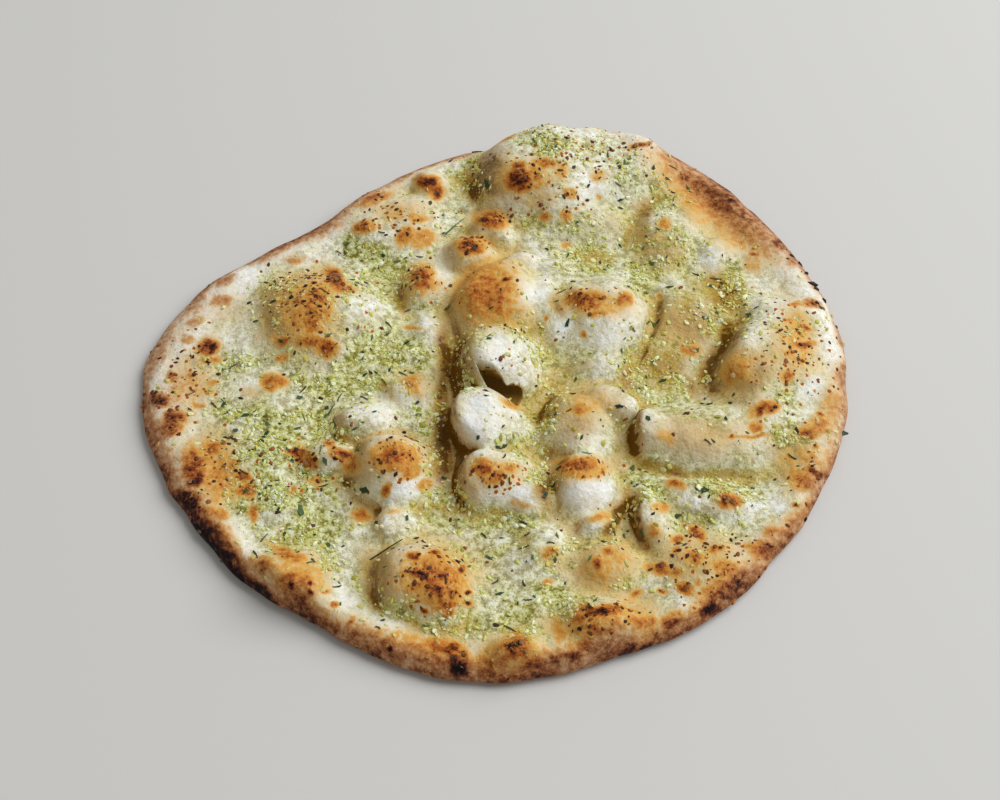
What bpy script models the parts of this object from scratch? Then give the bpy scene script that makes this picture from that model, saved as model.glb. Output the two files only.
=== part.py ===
"""Garlic cilantro naan: one blistered flatbread, with its garlic bits, cilantro flakes and stems fused on.

The bread lies flat on z = 0, with the middle of its box at the origin. +X is its right, +Y its back and +Z
its top. Sizes are in millimetres and are turned to metres where the meshes are made.
"""

import math

import bmesh
import bpy
import numpy as np
from mathutils import Matrix, Vector
from mathutils.bvhtree import BVHTree

MM = 0.001

# Half widths of the bread from its middle, every 15 degrees anticlockwise from +X.
EDGE_RADII = (
    185.0, 186.5, 187.0, 190.0, 193.0, 183.5, 169.0, 159.0, 149.5, 146.0, 157.0, 174.0,
    184.5, 180.5, 175.0, 172.0, 170.2, 173.6, 177.0, 173.3, 175.6, 175.6, 177.0, 180.5,
)
# Height of the raised rim over the base and its width, every 30 degrees anticlockwise from +X.
RIM_HEIGHTS = (4.0, 3.5, 3.0, 2.0, 2.5, 2.5, 3.5, 4.0, 4.5, 4.5, 4.0, 4.0)
RIM_WIDTHS = (26.0, 26.0, 22.0, 18.0, 18.0, 28.0, 34.0, 24.0, 20.0, 20.0, 22.0, 26.0)
RIM_CREST = 0.4  # share of the rim's width at which it is highest
RIM_SOFTNESS = 0.42  # share of the rim's width over which it falls off

# Small unevenness of the outline: length and height of the waves.
EDGE_WAVES = ((17.0, 1.0), (8.0, 0.7))

BASE_THICKNESS = 7.0
EDGE_HEIGHT = 4.0  # of the outermost line of the bread over the flat underside
TOP_ROLL = 9.0  # how far in the rounded edge reaches on top
UNDER_ROLL = 11.0  # and on the underside
# Unevenness of the whole top: length and height of the soft waves.
TOP_WAVES = ((38.0, 1.8), (19.0, 1.2))
# How far and over what length the outlines of the bubbles wander.
WANDER = ((30.0, 3.5), (12.0, 1.6))

# Every place below is measured in millimetres from AIM, a point a little in front of the bread's middle.
AIM = Vector((3.0, -15.0))

# Bubbles: middle, half width, half depth, turn in degrees, height, fullness, and how far the top leans.
# A fullness of 2 is a gentle hill, and a larger one gives a fuller bubble with steeper sides.
BUBBLES = (
    ("north", 27, 152, 46, 42, 0, 21.5, 4.5, -2, 3),
    ("north middle", 52, 157, 34, 38, 0, 18.0, 3.8, 0, 3),
    ("north east", 74, 158, 34, 36, 0, 15.5, 3.4, 0, 2),
    ("north front", 48, 122, 34, 18, 0, 8.0, 3.0, 0, 0),
    ("upper bead", -3, 112, 15, 14, 0, 9.0, 3.8, 0, 0),
    ("lower bead", -15, 92, 17, 17, 20, 10.5, 3.8, -1, 0),
    ("north west knob", -42, 149, 15, 12, -20, 8.0, 3.5, 0, 0),
    ("north west plateau", -60, 118, 34, 30, 0, 8.0, 3.5, 0, 0),
    ("west knuckle", -43, 70, 17, 20, 0, 9.5, 3.2, 0, 0),
    ("west", -97, 48, 42, 38, 0, 16.0, 3.6, -1, 0),
    ("west pad", -38, 43, 14, 12, 0, 4.5, 3.0, 0, 0),
    ("west nub", -44, 1, 15, 13, 0, 5.0, 3.0, 0, 0),
    ("centre", -1, 62, 26, 32, -18, 15.5, 4.0, -3, 0),
    ("centre wrinkle", 9, 86, 17, 10, 15, 9.5, 3.0, 0, 0),
    ("centre wrinkle right", 29, 84, 13, 11, 0, 5.0, 2.8, 0, 0),
    ("centre skirt", 24, 60, 16, 24, 0, 8.0, 2.6, 0, 0),
    ("middle left slope", 30, 42, 14, 18, 0, 6.0, 2.6, 0, 0),
    ("middle right", 53, 47, 32, 37, 12, 14.5, 3.6, 4, 0),
    ("middle right foot", 57, 16, 22, 18, 0, 8.5, 2.8, 1, 0),
    ("torn", 3, 14, 26, 26, -35, 20.5, 4.2, -5, -1),
    ("torn lower", -3, -24, 20, 22, 8, 16.5, 5.0, -6, 0),
    ("south middle", -2, -56, 21, 20, 15, 15.5, 4.2, -5, 0),
    ("south middle tail", 12, -68, 17, 15, 0, 9.5, 3.0, 0, 0),
    ("south right", 38, -59, 18, 23, -10, 15.5, 4.0, -3, 0),
    ("south right tail", 46, -84, 12, 13, 0, 8.0, 2.8, 0, 0),
    ("hook", 38, -25, 25, 27, -25, 14.5, 4.0, -1, 0),
    ("hook lip", 54, -11, 21, 16, -25, 14.5, 4.0, 4, -3),
    ("east ridge", 106, -29, 44, 24, 4, 12.0, 3.6, -2, -1),
    ("ridge end", 79, -30, 17, 18, 0, 12.5, 3.6, -3, 0),
    ("east shoulder", 134, -16, 30, 30, 0, 12.5, 2.8, 0, 0),
    ("east", 143, 14, 31, 40, -12, 17.5, 3.6, -7, 0),
    ("east top", 146, 44, 28, 26, 0, 10.0, 2.4, -2, 0),
    ("south west", -53, -53, 24, 25, 0, 18.5, 4.5, 2, 0),
    ("south west arm", -85, -46, 20, 15, 0, 10.5, 3.4, 0, 0),
    ("south west crown", -67, -19, 20, 17, 10, 10.0, 3.6, 0, 0),
    ("south west bead", -47, -82, 14, 13, 0, 6.0, 3.4, 0, 0),
    ("south", -34, -114, 29, 26, -22, 17.0, 4.2, -1, 0),
    ("south west rim", -96, -110, 26, 18, -35, 7.5, 3.0, 0, 0),
    ("front rim", 10, -148, 16, 12, 0, 7.0, 3.2, 0, 0),
    ("front right rim", 45, -133, 21, 15, 10, 9.0, 3.2, 0, 0),
    ("front nub", 22, -95, 14, 13, 0, 5.5, 3.2, 0, 0),
    ("front right nub", 52, -105, 18, 17, 0, 9.0, 3.4, 0, 0),
    ("flap", 72, -79, 12, 24, 14, 9.5, 3.4, -3, 0),
    ("flap field", 98, -66, 36, 20, -5, 9.0, 3.0, 0, 0),
    ("south east field", 92, -100, 30, 22, 20, 5.0, 2.6, 0, 0),
    ("north east ridge", 97, 118, 22, 38, -8, 8.5, 3.2, 0, 0),
    ("north east bead", 118, 97, 14, 14, 0, 4.5, 3.0, 0, 0),
    ("east field", 96, 50, 24, 30, -10, 5.0, 2.6, 0, 0),
    ("west field", -122, -42, 36, 24, 0, 5.5, 2.6, 0, 0),
    ("south west field", -105, -74, 28, 20, 0, 5.0, 2.6, 0, 0),
)
FOOT_LEVEL = 2.8  # the skirt of each bubble falls to exp(-FOOT_LEVEL) of its height at its half width
MERGE_SOFTNESS = 1.6  # how much the valleys between the bubbles are filled
LEAST_TOP = 0.5  # of the top over the outermost line of the bread
LOW_SOFTNESS = 1.0  # how softly the lowest places are rounded off at that height

CREASE_END = 2.5  # half widths over which a crease fades towards its ends
# Creases: half width, depth and the points of the line along the bottom of each.
CREASES = (
    ("right of middle right", 4.0, 5.0, ((88, 72), (84, 55), (78, 38), (71, 22), (64, 4))),
    ("left of east", 7.0, 6.0, ((124, 40), (112, 16), (101, -2))),
    ("left of torn", 6.0, 5.5, ((-27, 52), (-28, 5), (-27, -35), (-18, -78))),
    ("under hook", 4.5, 9.0, ((66, -22), (65, -34), (62, -43))),
    ("east hollow", 11.0, 6.0, ((88, 34), (82, 14), (92, -4))),
    ("front of east ridge", 3.0, 3.5, ((62, -44), (80, -49), (92, -55), (112, -53), (128, -56))),
    ("left of flap", 2.8, 6.0, ((57, -62), (61, -80), (67, -99))),
    ("beside the beads", 3.0, 3.0, ((-14, 112), (-2, 99), (8, 101))),
    ("right of torn", 5.0, 3.0, ((30, 20), (22, -8), (16, -30))),
    ("left of north", 7.0, 3.0, ((-18, 165), (-16, 140), (-20, 122))),
    ("right of north", 7.0, 3.0, ((100, 150), (82, 132), (70, 112))),
)

# The tear in the torn bubble: its line, the hollow under it and the mouth cut through the crust.
TEAR_START = Vector((-13.0, 5.4))
TEAR_END = Vector((12.0, -15.0))
TEAR_HOLLOW_LENGTH_SHARE = 0.8  # of the tear
TEAR_HOLLOW_HALF_WIDTH = 7.5
TEAR_HOLLOW_HALF_HEIGHT = 5.0
TEAR_HOLLOW_MIDDLE = 13.0  # over the underside
TEAR_HOLLOW_SHIFT = 2.5  # sideways, in under the upper lip
TEAR_MOUTH_HALF_WIDTH = 3.0
TEAR_MOUTH_TOP = 40.0  # over the underside, above the crust
TEAR_STEPS = 11  # along each edge of the mouth
TEAR_RAGGEDNESS = 0.9
TEAR_BLUNTNESS = 0.45  # 1 gives long pointed ends, and less gives blunter ones

TOP_RINGS = 26
ROLL_RINGS = 3
UNDER_RINGS = 2

# Garlic: middle, half width, half depth and number of the bits that stand out in each place.
GARLIC_PLACES = (
    (-12, 165, 9, 20, 3), (25, 184, 16, 8, 4), (70, 160, 12, 18, 4), (88, 138, 13, 12, 4),
    (50, 88, 14, 8, 4), (104, 88, 24, 24, 6), (122, 62, 10, 14, 4), (80, 14, 15, 15, 5),
    (-78, 60, 18, 40, 5), (-112, 20, 24, 14, 3), (-115, -18, 28, 12, 6), (-108, -58, 30, 16, 6),
    (-53, 0, 12, 14, 3), (-34, -45, 10, 24, 3), (12, 33, 10, 8, 2), (42, -84, 20, 8, 3),
    (0, -98, 28, 18, 5), (28, -130, 12, 16, 3), (102, -54, 30, 8, 4), (148, -18, 8, 18, 4),
    (100, -78, 12, 6, 3), (-30, -128, 30, 8, 4), (-75, 103, 16, 12, 3), (160, 35, 10, 18, 3),
)
GARLIC_LENGTHS = (2.2, 3.2)
GARLIC_WIDTH_SHARE = 0.72  # of a bit's length
GARLIC_HEIGHT_SHARE = 0.6
GARLIC_SUNK = 0.3  # share of a bit's height that is under the crust

# Cilantro flakes: place, length and turn in degrees.
FLAKES = (
    (75, 169, 7.0, 60), (-7, 149, 9.0, 100), (-118, -27, 5.0, 80), (-103, -24, 4.5, 20), (-84, -21, 5.0, 100),
    (-66, -61, 6.0, 10), (-97, -73, 7.0, 110), (-108, -73, 4.0, 70), (84, 6, 4.5, 30), (120, 70, 4.0, 90),
    (100, -61, 5.0, 5), (-5, 15, 6.0, 20), (-7, 35, 4.5, 0), (36, 45, 5.0, 60), (93, 71, 4.0, 10),
    (109, 147, 5.0, 110), (61, -10, 4.5, 0), (-40, 135, 4.5, 80), (-28, 57, 5.0, 40), (44, 119, 4.0, 100),
    (-142, -9, 4.0, 60), (-130, -16, 4.5, 30), (-57, 90, 4.0, 10), (-45, -77, 4.0, 80), (173, -27, 5.5, 10),
    (2, -35, 4.0, 60), (86, -76, 5.0, 20), (-82, -92, 4.5, 120), (-15, 100, 4.0, 50), (115, -18, 4.0, 90),
)
FLAKE_THICKNESS = 0.9
FLAKE_WIDTH_SHARE = 0.55
FLAKE_WAVE = 0.25  # how far its corners bend up and down by turns
FLAKE_LIFT = 0.25  # of its middle over the crust
FLAKE_TURN_RANGE = 0.2

# Cilantro stems: the two ends and the place in the middle that each bows through.
STEMS = (
    ((-63, -96), (-54, -95), (-45, -92)),
    ((-32, 110), (-25, 117), (-21, 125)),
    ((2, -135), (5, -137), (8, -139)),
    ((-65, 13), (-62, 8), (-58, 3)),
    ((-87, -16), (-86, -12), (-84, -9)),
    ((30, 64), (33, 67), (36, 68)),
)
STEM_RADIUS = 0.55
STEM_SIDES = 4
STEM_SUNK = 0.2  # share of the stem's radius by which its middle line is under the crust

# The toppings are placed along lines from EYE, through places on a plane at about the crust's middle height.
EYE_DISTANCE = 724.0  # from AIM
EYE_ELEVATION = math.radians(53.4)
EYE = AIM.to_3d() + Vector((0.0, -math.cos(EYE_ELEVATION), math.sin(EYE_ELEVATION))) * EYE_DISTANCE
SEEN_HEIGHT = 8.0

# Random waves: points on each side of the lattice, how fast a point's weight falls off, and the last gain.
WAVE_LATTICE = 128
WAVE_FALL = 1.6
WAVE_GAIN = 1.5

DOUGH_COLOUR = (0.78, 0.66, 0.42, 1.0)
DOUGH_ROUGHNESS = 0.6
SHARP_FROM = math.radians(75)  # angle between two faces whose shared edge is drawn sharp


def clear_scene():
    for obj in list(bpy.data.objects):
        bpy.data.objects.remove(obj, do_unlink=True)


def dough_material():
    material = bpy.data.materials.new("baked dough")
    material.use_nodes = True
    shader = material.node_tree.nodes["Principled BSDF"]
    shader.inputs["Base Color"].default_value = DOUGH_COLOUR
    shader.inputs["Roughness"].default_value = DOUGH_ROUGHNESS
    shader.inputs["Metallic"].default_value = 0.0
    return material


def round_trip(values, angle):
    """A smooth closed curve through the values, which are spread evenly over one full turn."""
    values = np.array(values)
    count = len(values)
    place = (angle / (2 * math.pi) % 1.0) * count
    before = np.floor(place).astype(int)
    t = place - before
    a, b, c, d = (values[(before + step) % count] for step in (-1, 0, 1, 2))
    return b + 0.5 * t * (c - a + t * (2 * a - 5 * b + 4 * c - d + t * (3 * (b - c) + d - a)))


def waves(x, y, length, seed):
    """Soft uneven waves between about -1 and 1, from random values on a square lattice of the given size."""
    size = WAVE_LATTICE
    lattice = np.random.default_rng(seed).uniform(-1.0, 1.0, (size, size))
    across = (x * math.cos(seed) + y * math.sin(seed)) / length + size / 2
    along = (y * math.cos(seed) - x * math.sin(seed)) / length + size / 2
    column = np.floor(across).astype(int)
    row = np.floor(along).astype(int)
    total = np.zeros_like(x)
    weights = np.zeros_like(x)
    for i in (-1, 0, 1, 2):
        for j in (-1, 0, 1, 2):
            gap = (across - column - i) ** 2 + (along - row - j) ** 2
            weight = np.exp(-WAVE_FALL * gap)
            total += weight * lattice[(row + j) % size, (column + i) % size]
            weights += weight
    return WAVE_GAIN * total / weights


def edge_radius(angle):
    """Half width of the bread in each direction, with the small unevenness of its edge."""
    radius = round_trip(EDGE_RADII, angle)
    for length, height in EDGE_WAVES:
        radius = radius + height * waves(radius * np.cos(angle), radius * np.sin(angle), length, 13)
    return radius


def closeness_to_line(x, y, points, half_width):
    """1 on a line of straight pieces through the points, less beside it and towards its two ends."""
    nearest = np.full_like(x, 1e9)
    for (ax, ay), (bx, by) in zip(points, points[1:]):
        ax, bx = ax + AIM.x, bx + AIM.x
        ay, by = ay + AIM.y, by + AIM.y
        length = (bx - ax) ** 2 + (by - ay) ** 2
        along = np.clip(((x - ax) * (bx - ax) + (y - ay) * (by - ay)) / length, 0.0, 1.0)
        gap = np.hypot(x - ax - along * (bx - ax), y - ay - along * (by - ay))
        nearest = np.minimum(nearest, gap)
    closeness = np.exp(-((nearest / half_width) ** 2))
    for end_x, end_y in (points[0], points[-1]):
        from_end = np.hypot(x - end_x - AIM.x, y - end_y - AIM.y)
        closeness *= 1 - np.exp(-((from_end / (CREASE_END * half_width)) ** 2))
    return closeness


def bubble_rise(x, y):
    """Height of the bubbles over the base, and how far they push the crust sideways."""
    total = np.zeros_like(x)
    push_x = np.zeros_like(x)
    push_y = np.zeros_like(x)
    bend_x = x + sum(height * waves(x, y, length, 11) for length, height in WANDER)
    bend_y = y + sum(height * waves(x, y, length, 12) for length, height in WANDER)
    for _, bx, by, half_width, half_depth, turn, height, fullness, lean_x, lean_y in BUBBLES:
        c = math.cos(math.radians(turn))
        s = math.sin(math.radians(turn))
        dx = bend_x - bx - AIM.x
        dy = bend_y - by - AIM.y
        q = ((dx * c + dy * s) / half_width) ** 2 + ((dy * c - dx * s) / half_depth) ** 2
        share = np.exp(-FOOT_LEVEL * q ** (fullness / 2))
        weight = np.expm1(share * height / MERGE_SOFTNESS)
        total += weight
        push_x += weight * share * lean_x
        push_y += weight * share * lean_y
    safe = np.maximum(total, 1e-12)
    return MERGE_SOFTNESS * np.log1p(total), push_x / safe, push_y / safe


def top_height(x, y, inset, angle):
    """Height of the top of the bread over its underside, before its edge is rounded."""
    rise, push_x, push_y = bubble_rise(x, y)
    rim_width = round_trip(RIM_WIDTHS, angle)
    rim = round_trip(RIM_HEIGHTS, angle) * np.exp(-(((inset / rim_width - RIM_CREST) / RIM_SOFTNESS) ** 2))
    soft = sum(height * waves(x, y, length, 3) for length, height in TOP_WAVES)
    height = BASE_THICKNESS + rim + soft + rise
    for _, half_width, depth, points in CREASES:
        height -= depth * closeness_to_line(x, y, points, half_width)
    least = EDGE_HEIGHT + LEAST_TOP
    height = least + LOW_SOFTNESS * np.logaddexp(0.0, (height - least) / LOW_SOFTNESS)
    return height, push_x, push_y


def disc_grid(rings):
    """Ring number and angle of each point of a square grid that is bent into a disc."""
    steps = np.arange(-rings, rings + 1).astype(float)
    across, along = np.meshgrid(steps, steps)
    ring = np.maximum(abs(across), abs(along))
    sideways = abs(across) >= abs(along)
    with np.errstate(divide="ignore", invalid="ignore"):
        by_across = math.pi / 4 * np.where(across == 0, 0, along / across)
        by_along = math.pi / 2 - math.pi / 4 * np.where(along == 0, 0, across / along)
    angle = np.where(sideways, by_across, by_along)
    flipped = np.where(sideways, across < 0, along < 0)
    return ring, angle + math.pi * flipped


def top_points():
    """The top as a square grid of points, in millimetres."""
    ring, angle = disc_grid(TOP_RINGS)
    edge = edge_radius(angle)
    inner_rings = TOP_RINGS - ROLL_RINGS
    rolled = np.clip(ring - inner_rings, 0, None) / ROLL_RINGS * math.pi / 2
    inset = TOP_ROLL * (1 - np.sin(rolled))
    radius = np.where(ring <= inner_rings, (edge - TOP_ROLL) * ring / inner_rings, edge - inset)
    x = radius * np.cos(angle)
    y = radius * np.sin(angle)
    height, push_x, push_y = top_height(x, y, edge - radius, angle)
    level = np.cos(rolled)
    z = EDGE_HEIGHT + (height - EDGE_HEIGHT) * level
    return np.stack([x + push_x * level, y + push_y * level, z], axis=-1), angle, edge


def border_indices(side):
    """Indices round the border of a square grid with this many points a side, anticlockwise."""
    last = side - 1
    front = [column for column in range(last)]
    right = [row * side + last for row in range(last)]
    back = [last * side + column for column in range(last, 0, -1)]
    left = [row * side for row in range(last, 0, -1)]
    return front + right + back + left


def bread_body():
    """The bread as one closed mesh: a grid on top, rings round the lower edge and one flat face below."""
    points, angle, edge = top_points()
    side = 2 * TOP_RINGS + 1
    body = bmesh.new()
    verts = [body.verts.new(Vector(point) * MM) for point in points.reshape(-1, 3)]
    for row in range(side - 1):
        for column in range(side - 1):
            first = row * side + column
            body.faces.new([verts[first], verts[first + 1], verts[first + side + 1], verts[first + side]])
    border = border_indices(side)
    upper = [verts[index] for index in border]
    angles = angle.reshape(-1)[border]
    edges = edge.reshape(-1)[border]
    for step in range(1, UNDER_RINGS + 1):
        rolled = step / UNDER_RINGS * math.pi / 2
        z = EDGE_HEIGHT * (1 - math.sin(rolled))
        radii = edges - UNDER_ROLL * (1 - math.cos(rolled))
        lower = [
            body.verts.new(Vector((r * math.cos(a), r * math.sin(a), z)) * MM) for r, a in zip(radii, angles)
        ]
        for here in range(len(border)):
            there = (here + 1) % len(border)
            body.faces.new([upper[here], lower[here], lower[there], upper[there]])
        upper = lower
    body.faces.new(upper[::-1])
    bmesh.ops.triangulate(body, faces=body.faces[:], quad_method="SHORT_EDGE")
    mesh = bpy.data.meshes.new("naan")
    body.to_mesh(mesh)
    body.free()
    return mesh


def new_object(name, mesh, collection):
    obj = bpy.data.objects.new(name, mesh)
    collection.objects.link(obj)
    return obj


def tear_frame():
    """The middle of the tear, its half length, and the matrix that turns +X along it."""
    along = TEAR_END - TEAR_START
    turn = Matrix.Rotation(math.atan2(along.y, along.x), 4, "Z")
    return (TEAR_START + TEAR_END) / 2 + AIM, along.length / 2, turn


def tear_hollow():
    """The rounded hollow under the torn crust, a little to the side of the mouth."""
    middle, half_length, turn = tear_frame()
    shape = bmesh.new()
    bmesh.ops.create_icosphere(shape, subdivisions=2, radius=1.0)
    half_hollow = half_length * TEAR_HOLLOW_LENGTH_SHARE
    size = Matrix.Diagonal((half_hollow, TEAR_HOLLOW_HALF_WIDTH, TEAR_HOLLOW_HALF_HEIGHT, 1.0))
    shift = Matrix.Translation((0.0, TEAR_HOLLOW_SHIFT, 0.0))
    shape.transform(Matrix.Translation((middle.x, middle.y, TEAR_HOLLOW_MIDDLE)) @ turn @ shift @ size)
    return shape


def tear_mouth():
    """The mouth cut through the crust: a narrow pointed column with ragged edges."""
    middle, half_length, turn = tear_frame()
    draw = np.random.default_rng(5)
    edges = []
    for side in (-1, 1):
        for step in range(TEAR_STEPS):
            share = (step + (side > 0)) / TEAR_STEPS
            width = TEAR_MOUTH_HALF_WIDTH * math.sin(math.pi * share) ** TEAR_BLUNTNESS
            ragged = TEAR_RAGGEDNESS * draw.uniform(-1, 1) * (0 < share < 1)
            edges.append((side, share, side * width + ragged))
    line = [e for e in edges if e[0] < 0] + [e for e in reversed(edges) if e[0] > 0]
    shape = bmesh.new()
    rings = []
    for level in (TEAR_HOLLOW_MIDDLE, TEAR_MOUTH_TOP):
        ring = [shape.verts.new(((2 * share - 1) * half_length, offset, level)) for _, share, offset in line]
        rings.append(ring)
    below, above = rings
    for here in range(len(line)):
        there = (here + 1) % len(line)
        shape.faces.new([below[here], below[there], above[there], above[here]])
    shape.faces.new(above)
    shape.faces.new(below[::-1])
    bmesh.ops.triangulate(shape, faces=shape.faces[:])
    shape.transform(Matrix.Translation((middle.x, middle.y, 0.0)) @ turn)
    return shape


def tear_cutters(collection):
    cutters = []
    for name, shape in (("tear hollow", tear_hollow()), ("tear mouth", tear_mouth())):
        shape.transform(Matrix.Scale(MM, 4))
        mesh = bpy.data.meshes.new(name)
        shape.to_mesh(mesh)
        shape.free()
        cutter = new_object(name, mesh, collection)
        cutter.hide_render = True
        cutter.display_type = "WIRE"
        cutters.append(cutter)
    return cutters


def crust_point(tree, x, y):
    """The point and slope of the crust on the line from EYE through a place measured from AIM."""
    target = Vector((x + AIM.x, y + AIM.y, SEEN_HEIGHT))
    hit, normal, _, _ = tree.ray_cast(EYE * MM, target - EYE)
    if hit is None:
        return None, None
    return hit / MM, normal if normal.z > 0 else -normal


def lay_on(point, normal, turn):
    """A matrix in millimetres that lays a shape's XY plane on the crust, turned about the crust's normal."""
    tilt = Vector((0.0, 0.0, 1.0)).rotation_difference(normal).to_matrix().to_4x4()
    return Matrix.Translation(point) @ tilt @ Matrix.Rotation(turn, 4, "Z")


def add_bit(name, shape, matrix, collection):
    """Turns a small bmesh, in millimetres, into an object in the collection."""
    shape.transform(Matrix.Scale(MM, 4) @ matrix)
    bmesh.ops.recalc_face_normals(shape, faces=shape.faces[:])
    mesh = bpy.data.meshes.new(name)
    shape.to_mesh(mesh)
    shape.free()
    new_object(name, mesh, collection)


def add_garlic(tree, collection, draw):
    """Lumps of minced garlic, longer than wide and a little sunk in the crust."""
    number = 0
    for x, y, half_width, half_depth, count in GARLIC_PLACES:
        for _ in range(count):
            angle = draw.uniform(0, 2 * math.pi)
            reach = math.sqrt(draw.uniform(0, 1))
            length = draw.uniform(*GARLIC_LENGTHS)
            spin = draw.uniform(0, math.pi)
            bit_x = x + half_width * reach * math.cos(angle)
            bit_y = y + half_depth * reach * math.sin(angle)
            point, normal = crust_point(tree, bit_x, bit_y)
            if point is None:
                continue
            half_high = length / 2 * GARLIC_HEIGHT_SHARE
            shape = bmesh.new()
            bmesh.ops.create_icosphere(shape, subdivisions=1, radius=1.0)
            half_wide = length / 2 * GARLIC_WIDTH_SHARE
            shape.transform(Matrix.Diagonal((length / 2, half_wide, half_high, 1.0)))
            lifted = point + normal * half_high * (1 - 2 * GARLIC_SUNK)
            add_bit(f"garlic {number}", shape, lay_on(lifted, normal, spin), collection)
            number += 1


def add_flakes(tree, collection, draw):
    """Torn leaf flakes: thin wavy plates with five corners, both faces split into triangles alike."""
    corners = 5
    for number, (x, y, length, turn) in enumerate(FLAKES):
        point, normal = crust_point(tree, x, y)
        if point is None:
            continue
        shape = bmesh.new()
        rings = []
        for level in (-0.5, 0.5):
            ring = []
            for corner in range(corners):
                angle = 2 * math.pi * corner / corners
                along = length / 2 * math.cos(angle)
                across = length / 2 * FLAKE_WIDTH_SHARE * math.sin(angle)
                height = level * FLAKE_THICKNESS + FLAKE_WAVE * (-1) ** corner
                ring.append(shape.verts.new((along, across, height)))
            rings.append(ring)
        below, above = rings
        for corner in range(1, corners - 1):
            shape.faces.new([above[0], above[corner], above[corner + 1]])
            shape.faces.new([below[0], below[corner + 1], below[corner]])
        for corner in range(corners):
            after = (corner + 1) % corners
            shape.faces.new([below[corner], below[after], above[after], above[corner]])
        spin = math.radians(turn) + draw.uniform(-FLAKE_TURN_RANGE, FLAKE_TURN_RANGE)
        add_bit(f"flake {number}", shape, lay_on(point + normal * FLAKE_LIFT, normal, spin), collection)


def add_stems(tree, collection):
    """Thin stems that follow the crust, as tubes with a few sides and closed ends."""
    for number, places in enumerate(STEMS):
        line = []
        for x, y in places:
            point, normal = crust_point(tree, x, y)
            line.append((point - normal * STEM_RADIUS * STEM_SUNK, normal))
        shape = bmesh.new()
        rings = []
        for index, (point, normal) in enumerate(line):
            before = line[max(index - 1, 0)][0]
            after = line[min(index + 1, len(line) - 1)][0]
            along = (after - before).normalized()
            side = normal.cross(along).normalized()
            up = along.cross(side)
            ring = []
            for corner in range(STEM_SIDES):
                angle = 2 * math.pi * (corner + 0.5) / STEM_SIDES
                offset = side * math.cos(angle) + up * math.sin(angle)
                ring.append(shape.verts.new(point + offset * STEM_RADIUS))
            rings.append(ring)
        for lower, upper in zip(rings, rings[1:]):
            for corner in range(STEM_SIDES):
                after = (corner + 1) % STEM_SIDES
                shape.faces.new([lower[corner], lower[after], upper[after], upper[corner]])
        shape.faces.new(rings[0][::-1])
        shape.faces.new(rings[-1])
        add_bit(f"stem {number}", shape, Matrix.Identity(4), collection)


def apply_modifiers(obj):
    graph = bpy.context.evaluated_depsgraph_get()
    graph.update()
    mesh = bpy.data.meshes.new_from_object(obj.evaluated_get(graph))
    obj.modifiers.clear()
    obj.data = mesh


def keep_the_bread(obj):
    """Keeps the largest connected body, so that no loose scrap and no sealed hollow is left."""
    body = bmesh.new()
    body.from_mesh(obj.data)
    unseen = set(body.verts)
    bodies = []
    while unseen:
        first = unseen.pop()
        found = {first}
        front = [first]
        while front:
            for edge in front.pop().link_edges:
                for vert in edge.verts:
                    if vert in unseen:
                        unseen.discard(vert)
                        found.add(vert)
                        front.append(vert)
        bodies.append(found)
    bodies.sort(key=len)
    for loose in bodies[:-1]:
        bmesh.ops.delete(body, geom=list(loose), context="VERTS")
    bmesh.ops.triangulate(body, faces=body.faces[:])
    body.to_mesh(obj.data)
    body.free()


def main():
    clear_scene()
    naan = new_object("naan", bread_body(), bpy.context.scene.collection)
    cutting = bpy.data.collections.new("cutters")
    bpy.context.scene.collection.children.link(cutting)
    for cutter in tear_cutters(cutting):
        cut = naan.modifiers.new(cutter.name, "BOOLEAN")
        cut.operation = "DIFFERENCE"
        cut.object = cutter
    apply_modifiers(naan)

    tree = BVHTree.FromObject(naan, bpy.context.evaluated_depsgraph_get())
    toppings = bpy.data.collections.new("toppings")
    bpy.context.scene.collection.children.link(toppings)
    draw = np.random.default_rng(7)
    add_garlic(tree, toppings, draw)
    add_flakes(tree, toppings, draw)
    add_stems(tree, toppings)
    fuse = naan.modifiers.new("fuse toppings", "BOOLEAN")
    fuse.operation = "UNION"
    fuse.operand_type = "COLLECTION"
    fuse.collection = toppings
    apply_modifiers(naan)
    for helper in list(toppings.objects) + list(cutting.objects):
        bpy.data.objects.remove(helper, do_unlink=True)
    keep_the_bread(naan)

    naan.data.materials.clear()
    naan.data.materials.append(dough_material())
    naan.data.shade_smooth()
    naan.data.set_sharp_from_angle(angle=SHARP_FROM)


main()
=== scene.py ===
"""The looks of the garlic cilantro naan: dough, browning, garlic, cilantro, light and the photo's view."""

import math

import bmesh
import bpy
import numpy as np
from mathutils import Matrix, Vector
from mathutils.bvhtree import BVHTree


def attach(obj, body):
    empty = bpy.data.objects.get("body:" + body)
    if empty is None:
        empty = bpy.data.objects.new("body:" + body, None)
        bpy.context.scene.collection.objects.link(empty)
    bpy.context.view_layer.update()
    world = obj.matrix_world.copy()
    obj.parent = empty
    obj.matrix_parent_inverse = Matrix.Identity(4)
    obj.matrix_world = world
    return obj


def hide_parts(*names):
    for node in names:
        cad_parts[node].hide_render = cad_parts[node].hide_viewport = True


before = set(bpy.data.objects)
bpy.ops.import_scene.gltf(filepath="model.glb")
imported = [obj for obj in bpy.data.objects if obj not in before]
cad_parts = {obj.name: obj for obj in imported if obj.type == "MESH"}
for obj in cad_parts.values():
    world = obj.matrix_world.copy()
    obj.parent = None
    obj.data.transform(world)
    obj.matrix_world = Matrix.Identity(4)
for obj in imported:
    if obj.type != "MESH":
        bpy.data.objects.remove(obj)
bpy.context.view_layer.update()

MM = 0.001

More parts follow.
